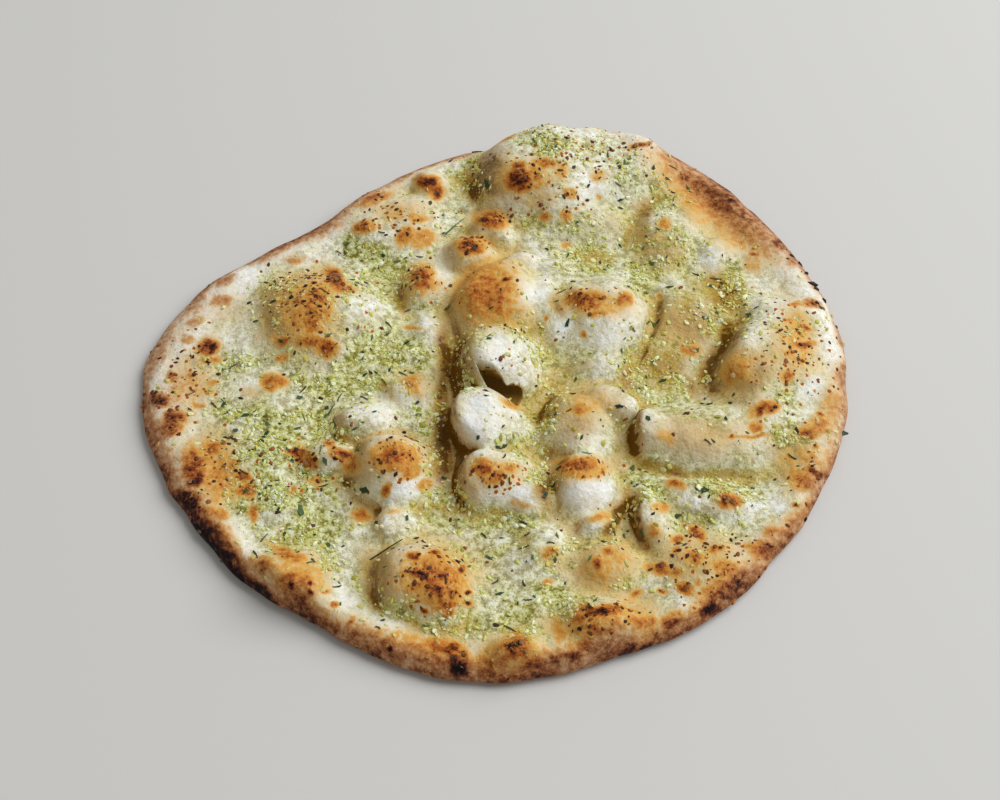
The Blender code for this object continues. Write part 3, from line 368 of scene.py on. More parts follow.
# A fullness of 2 fades softly from the middle outwards, and a larger one keeps a firmer outline.
SPOT_FULLNESS = 2.4
BROAD_FULLNESS = 1.7
FLOURY_AND_LIT_FULLNESS = 2.4
ZONE_FULLNESS = 2.0
SPOT_HALO = 0.4  # share of a spot's strength that the paler browning round it has
SPOT_HALO_SPREAD = 1.6
FLOUR_AND_LIGHT_CLEANS = 0.8  # share of the soft browning that a floury place doesn't take; these places also hold painted light
RIM_WAVER = 3.0  # how far the rim's browning wavers, in waves of RIM_WAVER_LENGTH
RIM_WAVER_LENGTH = 9.0
RIM_BLOTCH_LENGTH = 10.0
RIM_REACH_LENGTH = 15.0  # of the waves that widen and narrow the browned rim
RIM_FALL = 1.7
LOW_START = 2.0  # over the outermost line of the bread, from where its lower edge is dry and browned and holds painted shade
LOW_RANGE = 4.0
PATCH_TOAST = 0.05  # of the palest browning, in patches all over
PATCH_LENGTH = 13.0
HOLLOW_CELL = 2.0  # of the grid on which the height of the crust is compared with its surroundings
HOLLOW_REACH = 5  # cells
HOLLOW_MARGIN = 20  # cells that the grid has to spare
HOLLOW_DEPTH = 2.6  # below its surroundings at which a place counts as wholly hollow
UNDERSIDE_NORMAL = -0.9  # a face whose normal points down more than this is on the flat underside
UNDERSIDE_TOAST = 0.62
UNDERSIDE_LENGTH = 17.0  # of the waves of browning on the underside
SHADED_FLANK_START = 0.18  # slope to the left from which a bubble's side is golden: painted shade on the sides facing away from the light
SHADED_FLANK_RANGE = 0.6
SHADED_FLANK_GOLD = 0.62
HOLLOW_START = 0.2  # hollowness from which butter pools and turns golden, which also paints shade into the hollows
HOLLOW_SHADE_GOLD = 0.5
BUTTER_BASE = 0.44  # of the crust away from the herbs
BUTTER_IN_HERBS = 0.8
# Butter added in the hollows, which partly paints shade into them.
BUTTER_AND_SHADE_IN_HOLLOWS = 0.25
PLACE_JITTER = 0.7  # how far a bit may lie from the middle of the face it is drawn on
FLOOR_GAP = 0.1  # between the flat underside and the floor, so that the two faces don't share a plane
FLOOR_SIDE = 6.0  # metres

# Garlic: how many fine chips and coarse bits there are, and how long they are.
GARLIC_FINE_COUNT = 5000
GARLIC_FINE = (1.0, 2.4)
GARLIC_COARSE_COUNT = 2800
GARLIC_COARSE = (1.8, 4.2)
# Least and most half length, half width and half height of a bit, as shares of its length.
GARLIC_SHARES = ((0.5, 0.2, 0.13), (0.5, 0.42, 0.25))
GARLIC_EVERYWHERE = 0.025  # density outside its zones
GARLIC_CLUMPS = (13.0, 5.0)  # lengths of the wide and the small waves that gather it in clumps
GARLIC_BETWEEN = 0.03  # density between the clumps
GARLIC_GOLD_AND_SHADE = 0.42  # share of the crust's golden browning, with its painted shade, that the garlic on it has
GARLIC_LIFT = 0.02  # of the half height of a bit
# Cilantro flakes: place, length and turn in degrees.
FLAKES = (
    (75, 169, 7.0, 60), (-7, 149, 9.0, 100), (-118, -27, 5.0, 80), (-103, -24, 4.5, 20),
    (-84, -21, 5.0, 100), (-66, -61, 6.0, 10), (-97, -73, 7.0, 110), (-108, -73, 4.0, 70), (84, 6, 4.5, 30),
    (120, 70, 4.0, 90), (100, -61, 5.0, 5), (-5, 15, 6.0, 20), (-7, 35, 4.5, 0), (36, 45, 5.0, 60),
    (93, 71, 4.0, 10), (109, 147, 5.0, 110), (61, -10, 4.5, 0), (-40, 135, 4.5, 80), (-28, 57, 5.0, 40),
    (44, 119, 4.0, 100), (-142, -9, 4.0, 60), (-130, -16, 4.5, 30), (-57, 90, 4.0, 10), (-45, -77, 4.0, 80),
    (173, -27, 7.0, 10), (2, -35, 4.0, 60), (86, -76, 5.0, 20), (-82, -92, 4.5, 120), (-15, 100, 4.0, 50),
    (115, -18, 4.0, 90),
)
FLAKE_THICKNESS = 0.3
FLAKE_COUNT = 460
FLAKE_EVERYWHERE = 0.12  # density outside the garlic's zones
FLAKE_SMALL = (1.2, 4.6)  # lengths of the scattered ones
FLAKE_WIDTHS = (0.3, 0.62)  # of its length
FLAKE_LIFT = 0.8  # of its thickness
# Cilantro stems: the two ends and the place in the middle that each bows through.
STEMS = (
    ((-63, -96), (-54, -95), (-45, -92)),
    ((-32, 110), (-25, 117), (-21, 125)),
    ((2, -135), (5, -137), (8, -139)),
    ((-65, 13), (-62, 8), (-58, 3)),
    ((-87, -16), (-86, -12), (-84, -9)),
    ((30, 64), (33, 67), (36, 68)),
)
STEM_RADIUS = 0.35
STEM_COUNT = 80
STEM_SMALL = (2.5, 6.5)  # lengths of the scattered ones
STEM_THICKNESSES = (0.7, 1.1)  # of STEM_RADIUS
# Black crumbs on the right edge: place and length.
EDGE_CRUMBS = (
    (164, 96, 4.8), (169, 90, 4.4), (171, 83, 4.8), (172, 74, 6.8), (174, 71, 5.2), (176, 61, 3.6),
    (179, 35, 2.8), (175, 32, 2.4), (161, 100, 2.0), (160, 92, 2.0),
)
CRUMB_COUNT = 1150
CRUMB_EVERYWHERE = 0.004  # density outside the freckled zones
CRUMB_LENGTHS = (0.9, 3.7)
# Least and most half length, half width and half height, as shares of the length.
CRUMB_SHARES = ((0.5, 0.26, 0.16), (0.5, 0.42, 0.3))


def round_trip(values, angle):
    """A smooth closed curve through the values, which are spread evenly over one full turn."""
    values = np.array(values)
    count = len(values)
    place = (angle / (2 * math.pi) % 1.0) * count
    before = np.floor(place).astype(int)
    t = place - before
    a, b, c, d = (values[(before + step) % count] for step in (-1, 0, 1, 2))
    return b + 0.5 * t * (c - a + t * (2 * a - 5 * b + 4 * c - d + t * (3 * (b - c) + d - a)))


def waves(x, y, length, seed):
    """Soft uneven waves between about -1 and 1, from random values on a square lattice of the given size."""
    size = WAVE_LATTICE
    lattice = np.random.default_rng(seed).uniform(-1.0, 1.0, (size, size))
    across = (x * math.cos(seed) + y * math.sin(seed)) / length + size / 2
    along = (y * math.cos(seed) - x * math.sin(seed)) / length + size / 2
    column = np.floor(across).astype(int)
    row = np.floor(along).astype(int)
    total = np.zeros_like(x)
    weights = np.zeros_like(x)
    for i in (-1, 0, 1, 2):
        for j in (-1, 0, 1, 2):
            gap = (across - column - i) ** 2 + (along - row - j) ** 2
            weight = np.exp(-WAVE_FALL * gap)
            total += weight * lattice[(row + j) % size, (column + i) % size]
            weights += weight
    return WAVE_GAIN * total / weights


def edge_radius(angle):
    """Half width of the bread in each direction, with the small unevenness of its edge."""
    radius = round_trip(EDGE_RADII, angle)
    for length, height in EDGE_WAVES:
        radius = radius + height * waves(radius * np.cos(angle), radius * np.sin(angle), length, 13)
    return radius


def closeness_to_line(x, y, points, half_width):
    """1 on a line of straight pieces through the points, less beside it and towards its two ends."""
    nearest = np.full_like(x, 1e9)
    for (ax, ay), (bx, by) in zip(points, points[1:]):
        ax, bx = ax + AIM.x, bx + AIM.x
        ay, by = ay + AIM.y, by + AIM.y
        length = (bx - ax) ** 2 + (by - ay) ** 2
        along = np.clip(((x - ax) * (bx - ax) + (y - ay) * (by - ay)) / length, 0.0, 1.0)
        gap = np.hypot(x - ax - along * (bx - ax), y - ay - along * (by - ay))
        nearest = np.minimum(nearest, gap)
    closeness = np.exp(-((nearest / half_width) ** 2))
    for end_x, end_y in (points[0], points[-1]):
        from_end = np.hypot(x - end_x - AIM.x, y - end_y - AIM.y)
        closeness *= 1 - np.exp(-((from_end / (CREASE_END * half_width)) ** 2))
    return closeness


def bubble_rise(x, y):
    """Height of the bubbles over the base, and how far they push the crust sideways."""
    total = np.zeros_like(x)
    push_x = np.zeros_like(x)
    push_y = np.zeros_like(x)
    bend_x = x + sum(height * waves(x, y, length, 11) for length, height in WANDER)
    bend_y = y + sum(height * waves(x, y, length, 12) for length, height in WANDER)
    for _, bx, by, half_width, half_depth, turn, height, fullness, lean_x, lean_y in BUBBLES:
        c = math.cos(math.radians(turn))
        s = math.sin(math.radians(turn))
        dx = bend_x - bx - AIM.x
        dy = bend_y - by - AIM.y
        q = ((dx * c + dy * s) / half_width) ** 2 + ((dy * c - dx * s) / half_depth) ** 2
        share = np.exp(-FOOT_LEVEL * q ** (fullness / 2))
        weight = np.expm1(share * height / MERGE_SOFTNESS)
        total += weight
        push_x += weight * share * lean_x
        push_y += weight * share * lean_y
    safe = np.maximum(total, 1e-12)
    return MERGE_SOFTNESS * np.log1p(total), push_x / safe, push_y / safe


def top_height(x, y, inset, angle):
    """Height of the top of the bread over its underside, before its edge is rounded."""
    rise, push_x, push_y = bubble_rise(x, y)
    rim_width = round_trip(RIM_WIDTHS, angle)
    rim = round_trip(RIM_HEIGHTS, angle) * np.exp(-(((inset / rim_width - RIM_CREST) / RIM_SOFTNESS) ** 2))
    soft = sum(height * waves(x, y, length, 3) for length, height in TOP_WAVES)
    height = BASE_THICKNESS + rim + soft + rise
    for _, half_width, depth, points in CREASES:
        height -= depth * closeness_to_line(x, y, points, half_width)
    least = EDGE_HEIGHT + LEAST_TOP
    height = least + LOW_SOFTNESS * np.logaddexp(0.0, (height - least) / LOW_SOFTNESS)
    return height, push_x, push_y


def seen_places(points):
    """Where the photo shows each point, measured from AIM on a plane at SEEN_HEIGHT over the underside."""
    reach = (EYE.z - SEEN_HEIGHT) / (EYE.z - points[..., 2])
    seen_x = EYE.x + (points[..., 0] - EYE.x) * reach - AIM.x
    seen_y = EYE.y + (points[..., 1] - EYE.y) * reach - AIM.y
    return seen_x, seen_y


def coverage(x, y, marks, fullness, halo=0.0):
    """How strongly elliptical marks cover each place: the strongest wins, and each fades round its edge."""
    level = np.zeros_like(x)
    for mark_x, mark_y, half_width, half_depth, turn, strength in marks:
        c = math.cos(math.radians(turn))
        s = math.sin(math.radians(turn))
        dx = x - mark_x
        dy = y - mark_y
        q = np.hypot((dx * c + dy * s) / half_width, (dy * c - dx * s) / half_depth)
        level = np.maximum(level, strength * np.exp(-(q**fullness)))
        level = np.maximum(level, halo * strength * np.exp(-((q / SPOT_HALO_SPREAD) ** 2)))
    return level


def ragged(x, y, steps, seed):
    """Places moved about by soft waves, which makes the marks' outlines uneven."""
    moved_x = x + sum(size * waves(x, y, length, seed) for length, size in steps)
    moved_y = y + sum(size * waves(x, y, length, seed + 1) for length, size in steps)
    return moved_x, moved_y


def small_blisters(points):
    """Height of the small blisters in the crust: one under each browned spot, and many more at random."""
    x, y = seen_places(points)
    bend_x, bend_y = ragged(x, y, BLISTER_BENDS, 31)
    rise = np.zeros_like(x)
    draw = np.random.default_rng(17)
    random_blisters = []
    for _ in range(BLISTER_COUNT):
        angle = draw.uniform(0, 2 * math.pi)
        reach = BLISTER_SPREAD * math.sqrt(draw.uniform(0, 1))
        half_width = draw.uniform(*BLISTER_WIDTHS)
        half_depth = half_width * draw.uniform(*BLISTER_DEPTH_SHARES)
        turn = draw.uniform(0, 180)
        middle = (reach * math.cos(angle), reach * math.sin(angle))
        random_blisters.append((*middle, half_width, half_depth, turn, 1.0))
    for mark_x, mark_y, half_width, half_depth, turn, strength in random_blisters + list(SPOTS):
        height = BLISTER_SLOPE * min(half_width, half_depth, BLISTER_LARGEST) * strength
        c = math.cos(math.radians(turn))
        s = math.sin(math.radians(turn))
        dx = bend_x - mark_x
        dy = bend_y - mark_y
        near = np.hypot(dx, dy) < BLISTER_END * max(half_width, half_depth)
        q = np.hypot((dx[near] * c + dy[near] * s) / half_width, (dy[near] * c - dx[near] * s) / half_depth)
        rise[near] += height * np.exp(-(q**BLISTER_FULLNESS))
    return rise


def disc_grid(rings):
    """Ring number and angle of each point of a square grid that is bent into a disc."""
    steps = np.arange(-rings, rings + 1).astype(float)
    across, along = np.meshgrid(steps, steps)
    ring = np.maximum(abs(across), abs(along))
    sideways = abs(across) >= abs(along)
    with np.errstate(divide="ignore", invalid="ignore"):
        by_across = math.pi / 4 * np.where(across == 0, 0, along / across)
        by_along = math.pi / 2 - math.pi / 4 * np.where(along == 0, 0, across / along)
    angle = np.where(sideways, by_across, by_along)
    flipped = np.where(sideways, across < 0, along < 0)
    return ring, angle + math.pi * flipped


def top_points():
    """The top as a square grid of points, in millimetres."""
    ring, angle = disc_grid(TOP_RINGS)
    edge = edge_radius(angle)
    inner_rings = TOP_RINGS - ROLL_RINGS
    rolled = np.clip(ring - inner_rings, 0, None) / ROLL_RINGS * math.pi / 2
    inset = TOP_ROLL * (1 - np.sin(rolled))
    radius = np.where(ring <= inner_rings, (edge - TOP_ROLL) * ring / inner_rings, edge - inset)
    x = radius * np.cos(angle)
    y = radius * np.sin(angle)
    height, push_x, push_y = top_height(x, y, edge - radius, angle)
    level = np.cos(rolled)
    z = EDGE_HEIGHT + (height - EDGE_HEIGHT) * level
    points = np.stack([x + push_x * level, y + push_y * level, z], axis=-1)
    points[..., 2] += small_blisters(points) * level
    return points, angle, edge


def border_indices(side):
    """Indices round the border of a square grid with this many points a side, anticlockwise."""
    last = side - 1
    front = [column for column in range(last)]
    right = [row * side + last for row in range(last)]
    back = [last * side + column for column in range(last, 0, -1)]
    left = [row * side for row in range(last, 0, -1)]
    return np.array(front + right + back + left)


def grid_faces(side, offset, turned_over=False):
    """The four-sided faces of a square grid of points."""
    row, column = np.meshgrid(np.arange(side - 1), np.arange(side - 1), indexing="ij")
    first = (row * side + column).reshape(-1) + offset
    faces = np.stack([first, first + 1, first + side + 1, first + side], axis=-1)
    return (faces[:, ::-1] if turned_over else faces).tolist()


def bread_mesh():
    """The bread as one closed mesh: a fine grid on top, rings round its lower edge, a coarse grid below."""
    points, angle, edge = top_points()
    side = 2 * TOP_RINGS + 1
    verts = [points.reshape(-1, 3)]
    faces = grid_faces(side, 0)
    border = border_indices(side)
    count = len(border)
    angles = angle.reshape(-1)[border]
    edges = edge.reshape(-1)[border]
    upper = border
    start = side * side
    for step in range(1, UNDER_RINGS + 1):
        rolled = step / UNDER_RINGS * math.pi / 2
        radii = edges - UNDER_ROLL * (1 - math.cos(rolled))
        z = np.full(count, EDGE_HEIGHT * (1 - math.sin(rolled)))
        verts.append(np.stack([radii * np.cos(angles), radii * np.sin(angles), z], axis=-1))
        lower = np.arange(start, start + count)
        faces += np.stack([upper, lower, np.roll(lower, -1), np.roll(upper, -1)], axis=-1).tolist()
        upper = lower
        start += count
    ring, flat_angle = disc_grid(FLAT_RINGS)
    flat_radius = (edge_radius(flat_angle) - UNDER_ROLL - FLAT_INSET) * ring / FLAT_RINGS
    across, along = flat_radius * np.cos(flat_angle), flat_radius * np.sin(flat_angle)
    flat = np.stack([across, along, 0 * flat_radius], axis=-1)
    verts.append(flat.reshape(-1, 3))
    flat_side = 2 * FLAT_RINGS + 1
    faces += grid_faces(flat_side, start, turned_over=True)
    inner = border_indices(flat_side) + start
    stride = count // len(inner)
    for index, here in enumerate(inner):
        there = inner[(index + 1) % len(inner)]
        outer = [upper[(index * stride + step) % count] for step in range(stride, -1, -1)]
        faces.append([here, there] + outer)
    mesh = bpy.data.meshes.new("bread")
    mesh.from_pydata((np.concatenate(verts) * MM).tolist(), [], faces)
    mesh.update()
    return mesh


def new_object(name, mesh):
    obj = bpy.data.objects.new(name, mesh)
    bpy.context.scene.collection.objects.link(obj)
    return obj


def tear_frame():
    """The middle of the tear, its half length, and the matrix that turns +X along it."""
    along = TEAR_END - TEAR_START
    turn = Matrix.Rotation(math.atan2(along.y, along.x), 4, "Z")
    return (TEAR_START + TEAR_END) / 2 + AIM, along.length / 2, turn


def tear_hollow():
    """The rounded hollow under the torn crust, a little to the side of the mouth."""
    middle, half_length, turn = tear_frame()
    shape = bmesh.new()
    bmesh.ops.create_icosphere(shape, subdivisions=4, radius=1.0)
    half_hollow = half_length * TEAR_HOLLOW_LENGTH_SHARE
    size = Matrix.Diagonal((half_hollow, TEAR_HOLLOW_HALF_WIDTH, TEAR_HOLLOW_HALF_HEIGHT, 1.0))
    shift = Matrix.Translation((0.0, TEAR_HOLLOW_SHIFT, 0.0))
    shape.transform(Matrix.Translation((middle.x, middle.y, TEAR_HOLLOW_MIDDLE)) @ turn @ shift @ size)
    return shape


def tear_mouth():
    """The mouth cut through the crust: a narrow pointed column with ragged edges."""
    middle, half_length, turn = tear_frame()
    draw = np.random.default_rng(5)
    edges = []
    for side in (-1, 1):
        for step in range(TEAR_STEPS):
            share = (step + (side > 0)) / TEAR_STEPS
            width = TEAR_MOUTH_HALF_WIDTH * math.sin(math.pi * share) ** TEAR_BLUNTNESS
            uneven = TEAR_RAGGEDNESS * draw.uniform(-1, 1) * (0 < share < 1)
            edges.append((side, share, side * width + uneven))
    line = [e for e in edges if e[0] < 0] + [e for e in reversed(edges) if e[0] > 0]
    shape = bmesh.new()
    rings = []
    for level in (TEAR_HOLLOW_MIDDLE, TEAR_MOUTH_TOP):
        ring = [shape.verts.new(((2 * share - 1) * half_length, offset, level)) for _, share, offset in line]
        rings.append(ring)
    below, above = rings
    for here in range(len(line)):
        there = (here + 1) % len(line)
        shape.faces.new([below[here], below[there], above[there], above[here]])
    shape.faces.new(above)
    shape.faces.new(below[::-1])
    bmesh.ops.triangulate(shape, faces=shape.faces[:])
    shape.transform(Matrix.Translation((middle.x, middle.y, 0.0)) @ turn)
    return shape


def tear_cutters():
    cutters = []
    for name, shape in (("tear hollow", tear_hollow()), ("tear mouth", tear_mouth())):
        shape.transform(Matrix.Scale(MM, 4))
        mesh = bpy.data.meshes.new(name)
        shape.to_mesh(mesh)
        shape.free()
        cutters.append(new_object(name, mesh))
    return cutters


def apply_modifiers(obj):
    graph = bpy.context.evaluated_depsgraph_get()
    graph.update()
    mesh = bpy.data.meshes.new_from_object(obj.evaluated_get(graph))
    obj.modifiers.clear()
    obj.data = mesh


def build_bread():
    bread = new_object("bread", bread_mesh())
    cutters = tear_cutters()
    for cutter in cutters:
        cut = bread.modifiers.new(cutter.name, "BOOLEAN")
        cut.operation = "DIFFERENCE"
        cut.solver = "MANIFOLD"
        cut.object = cutter
    apply_modifiers(bread)
    for cutter in cutters:
        bpy.data.objects.remove(cutter, do_unlink=True)
    bread.data.materials.clear()
    bread.data.shade_smooth()
    return bread


def in_tear_hollow(points):
    """1 on the wall of the hollow under the torn crust, 0 everywhere else."""
    middle, half_length, turn = tear_frame()
    back = np.array(turn.inverted().to_3x3())
    local = (points - np.array([middle.x, middle.y, TEAR_HOLLOW_MIDDLE])) @ back.T
    local[:, 1] -= TEAR_HOLLOW_SHIFT
    half_hollow = half_length * TEAR_HOLLOW_LENGTH_SHARE
    radii = np.array([half_hollow, TEAR_HOLLOW_HALF_WIDTH, TEAR_HOLLOW_HALF_HEIGHT])
    return (np.linalg.norm(local / radii, axis=1) < TEAR_WALL).astype(float)


def blurred(grid, reach):
    kernel = np.exp(-((np.arange(-2 * reach, 2 * reach + 1) / reach) ** 2))
    for axis in (0, 1):
        grid = np.apply_along_axis(np.convolve, axis, grid, kernel, "same")
    return grid


def hollowness(points, normals):
    """How much lower than its surroundings each point lies: about 1 in a valley, below 0 on a bubble."""
    side = int(2 * max(EDGE_RADII) / HOLLOW_CELL) + HOLLOW_MARGIN
    cells = (points[:, :2] / HOLLOW_CELL + side / 2).astype(int)
    upward = normals[:, 2] > 0
    heights = np.zeros((side, side))
    counts = np.zeros((side, side))
    np.add.at(heights, (cells[upward, 0], cells[upward, 1]), points[upward, 2])
    np.add.at(counts, (cells[upward, 0], cells[upward, 1]), 1.0)
    around = blurred(heights, HOLLOW_REACH) / np.maximum(blurred(counts, HOLLOW_REACH), 1e-6)
    return np.clip((around[cells[:, 0], cells[:, 1]] - points[:, 2]) / HOLLOW_DEPTH, -1.0, 1.0)


def rim_toast(seen_x, seen_y, angle, inset, low):
    """Toast of the rim, in blotches: strongest on the outer edge and below it, where it also holds painted
    shade.
    """
    blotches = 0.5 + 0.5 * waves(seen_x, seen_y, RIM_BLOTCH_LENGTH, 52)
    reach_gain = 0.5 + 1.1 * np.clip(0.5 + 0.6 * waves(seen_x, seen_y, RIM_REACH_LENGTH, 54), 0.0, 1.0)
    reach = round_trip(RIM_TOAST_REACH, angle) * reach_gain
    edge = round_trip(RIM_TOAST, angle)
    rim = edge * np.exp(-((inset / reach) ** RIM_FALL)) * (0.6 + 0.6 * blotches)
    # Below the outer edge: browning, and painted shade under the bread's edge.
    return np.maximum(rim, 1.05 * low * edge * (0.8 + 0.3 * blotches))


def top_toast(seen_x, seen_y, wide_x, wide_y, floury, rim):
    """Toast of the top: the spots, the softer browning round and under them, and the rim's."""
    x, y = ragged(seen_x, seen_y, SPOT_BENDS, 21)
    patches = PATCH_TOAST * np.clip(0.5 + waves(seen_x, seen_y, PATCH_LENGTH, 55), 0.0, 1.0)
    broad = coverage(wide_x, wide_y, BROAD_TOAST, BROAD_FULLNESS)
    halos = coverage(x, y, SPOTS, SPOT_FULLNESS, SPOT_HALO)
    # Floury places, some of them painted light on the lit sides of bubbles, take less of the soft browning.
    soft = np.maximum.reduce([halos, broad, patches]) * (1 - FLOUR_AND_LIGHT_CLEANS * floury)
    return np.maximum.reduce([coverage(x, y, SPOTS, SPOT_FULLNESS), soft, rim])


def underside_toast(points):
    """Oven marks on the flat underside, which the photo doesn't show."""
    marks = np.maximum(waves(points[:, 0], points[:, 1], UNDERSIDE_LENGTH, 53), 0.0)
    return UNDERSIDE_TOAST * (0.45 + 0.9 * marks)


def crust_marks(points, normals):
    """How browned, dry, buttery, golden and freckled the crust is at each point, each from 0 to about 1. The
    golden mark also holds painted shade, and the floury one painted light.
    """
    seen_x, seen_y = seen_places(points)
    wide_x, wide_y = ragged(seen_x, seen_y, ZONE_BENDS, 41)
    angle = np.arctan2(points[:, 1], points[:, 0])
    inset = edge_radius(angle) - np.hypot(points[:, 0], points[:, 1])
    inset = np.maximum(inset + RIM_WAVER * waves(points[:, 0], points[:, 1], RIM_WAVER_LENGTH, 51), 0.0)
    low = np.clip((EDGE_HEIGHT + LOW_START - points[:, 2]) / LOW_RANGE, 0.0, 1.0) * (inset < UNDER_ROLL)
    flat = normals[:, 2] < UNDERSIDE_NORMAL
    hollow = in_tear_hollow(points)
    # Floury white, and painted light on the lit sides of the bubbles.
    floury = coverage(wide_x, wide_y, FLOURY_AND_LIT_ZONES, FLOURY_AND_LIT_FULLNESS)
    herby = coverage(wide_x, wide_y, GARLIC_ZONES, ZONE_FULLNESS)
    rim = rim_toast(seen_x, seen_y, angle, inset, low)
    toast = np.where(flat, underside_toast(points), top_toast(seen_x, seen_y, wide_x, wide_y, floury, rim))
    dry = np.clip(np.exp(-((inset / round_trip(RIM_DRY_REACH, angle)) ** 2)) + low, 0.0, 1.0)
    # The hollows take more butter and gold: partly butter that pools there, partly painted shade.
    hollows = hollowness(points, normals) * (1 - dry)
    butter = np.clip(BUTTER_BASE + BUTTER_IN_HERBS * herby + BUTTER_AND_SHADE_IN_HOLLOWS * hollows, 0.0, 1.0)
    butter = butter * (1 - 0.9 * dry) * (1 - 0.85 * floury)
    # Painted shade: the sides of the bubbles that face left, away from the light, are golden.
    shaded_flank = np.clip((-normals[:, 0] - SHADED_FLANK_START) / SHADED_FLANK_RANGE, 0.0, 1.0) * (1 - dry)
    pooled_and_shaded = SHADED_FLANK_GOLD * shaded_flank + HOLLOW_SHADE_GOLD * np.maximum(hollows - HOLLOW_START, 0.0)
    pooled_and_shaded = np.clip(pooled_and_shaded, 0.0, 1.0) * (1 - 0.6 * floury)
    # The golden mark: butter, and painted shade in the clefts and on the left flanks.
    golden = np.maximum(coverage(wide_x, wide_y, GOLDEN_AND_SHADED_ZONES, ZONE_FULLNESS), pooled_and_shaded)
    return {
        "toast": toast * (1 - hollow),
        "dry": dry,
        # Painted shade: the wall of the hollow under the tear is fully golden.
        "golden": np.maximum(golden, hollow),
        "hollow": hollow,
        "butter": butter * ~flat,
        "floury": floury * ~flat,
        "herby": herby * ~flat,
        "freckled": coverage(wide_x, wide_y, FRECKLE_ZONES, ZONE_FULLNESS) * ~flat,
    }


def mesh_places(mesh, kind):
    """Middles and normals of a mesh's points or faces, in millimetres."""
    items = mesh.vertices if kind == "vertices" else mesh.polygons
    places = np.empty(len(items) * 3, dtype=np.float32)
    normals = np.empty(len(items) * 3, dtype=np.float32)
    items.foreach_get("co" if kind == "vertices" else "center", places)
    items.foreach_get("normal", normals)
    return places.reshape(-1, 3).astype(float) / MM, normals.reshape(-1, 3).astype(float)


def set_marks(mesh, marks):
    """Stores each mark on the mesh's points, for its material."""
    for name, values in marks.items():
        layer = mesh.attributes.new(name, "FLOAT", "POINT")
        layer.data.foreach_set("value", np.asarray(values, dtype=np.float32))


class Crust:
    """The faces of the bread, from which places for the garlic, herbs and crumbs are drawn."""

    def __init__(self, mesh):
        self.middles, self.normals = mesh_places(mesh, "polygons")
        areas = np.empty(len(mesh.polygons), dtype=np.float32)
        mesh.polygons.foreach_get("area", areas)
        self.marks = crust_marks(self.middles, self.normals)
        open_air = (self.middles[:, 2] > EDGE_HEIGHT) & (self.normals[:, 2] > 0.0)
        self.areas = areas * open_air * (1 - self.marks["hollow"])
        points = [vert.co / MM for vert in mesh.vertices]
        self.tree = BVHTree.FromPolygons(points, [list(face.vertices) for face in mesh.polygons])

    def draw_places(self, density, count, draw):
        """Numbers of the drawn faces, with points on them, their normals and their marks."""
        weights = self.areas * density
        chosen = draw.choice(len(weights), count, p=weights / weights.sum())
        normals = self.normals[chosen]
        jitter = draw.uniform(-PLACE_JITTER, PLACE_JITTER, (count, 3))
        jitter -= (jitter * normals).sum(axis=1, keepdims=True) * normals
        marks = {name: values[chosen] for name, values in self.marks.items()}
        return self.middles[chosen] + jitter, normals, marks

    def at_seen(self, x, y):
        """The point and normal of the crust seen at a place measured from AIM, or the nearest one."""
        target = Vector((x + AIM.x, y + AIM.y, SEEN_HEIGHT))
        point, normal, _, _ = self.tree.ray_cast(EYE, target - EYE)
        if point is None:
            point, normal, _, _ = self.tree.find_nearest(target)
        return np.array(point), np.array(normal if normal.z > 0 else -normal)


def ball_template():
    """Points and faces of a small 20-sided lump."""
    shape = bmesh.new()
    bmesh.ops.create_icosphere(shape, subdivisions=1, radius=1.0)
    points = np.array([vert.co[:] for vert in shape.verts])
    faces = np.array([[vert.index for vert in face.verts] for face in shape.faces])
    shape.free()
    return points, faces


def chip_template():
    """Points and faces of a small 8-sided chip."""
    points = np.array([(1, 0, 0), (0, 1, 0), (-1, 0, 0), (0, -1, 0), (0, 0, 1), (0, 0, -1)], dtype=float)
    around = [(0, 1), (1, 2), (2, 3), (3, 0)]
    faces = [(here, there, 4) for here, there in around] + [(there, here, 5) for here, there in around]
    return points, np.array(faces)


def leaf_template(corners=9):
    """Points and faces of a thin torn leaf: a jagged outline, wavy, with both faces split alike."""
    angles = 2 * math.pi * np.arange(corners) / corners
    radii = 1.0 - 0.28 * (np.arange(corners) % 2)
    outline = np.stack([radii * np.cos(angles), radii * np.sin(angles), 0.35 * np.cos(2.5 * angles)], axis=-1)
    layers = []
    for level in (-0.5, 0.5):
        layers.append(np.concatenate([[[0.0, 0.0, 0.0]], outline]) + [0.0, 0.0, level])
    first = np.arange(corners) + 1
    after = np.roll(first, -1)
    above = corners + 1
    middle = np.zeros(corners, dtype=int)
    faces = [np.stack([middle, after, first], axis=-1), np.stack([middle, first, after], axis=-1) + above]
    faces.append(np.stack([first, after, after + above], axis=-1))
    faces.append(np.stack([first, after + above, first + above], axis=-1))
    return np.concatenate(layers), np.concatenate(faces)


def stem_template(sides=5, steps=6):
    """Points and faces of a thin bowed stem along X, from -1 to 1, with closed ends."""
    angles = 2 * math.pi * np.arange(sides) / sides
    points = []
    for along in np.linspace(-1.0, 1.0, steps):
        bow = 1.0 - along * along
        taper = 1.0 - 0.25 * along
        for angle in angles:
            points.append((along, bow + taper * math.cos(angle), taper * math.sin(angle)))
    faces = []
    for step in range(steps - 1):
        for side in range(sides):
            here = step * sides + side
            there = step * sides + (side + 1) % sides
            faces.append((here, there, there + sides))
            faces.append((here, there + sides, here + sides))
    last = (steps - 1) * sides
    for side in range(1, sides - 1):
        faces.append((0, side + 1, side))
        faces.append((last, last + side, last + side + 1))
    return np.array(points), np.array(faces)


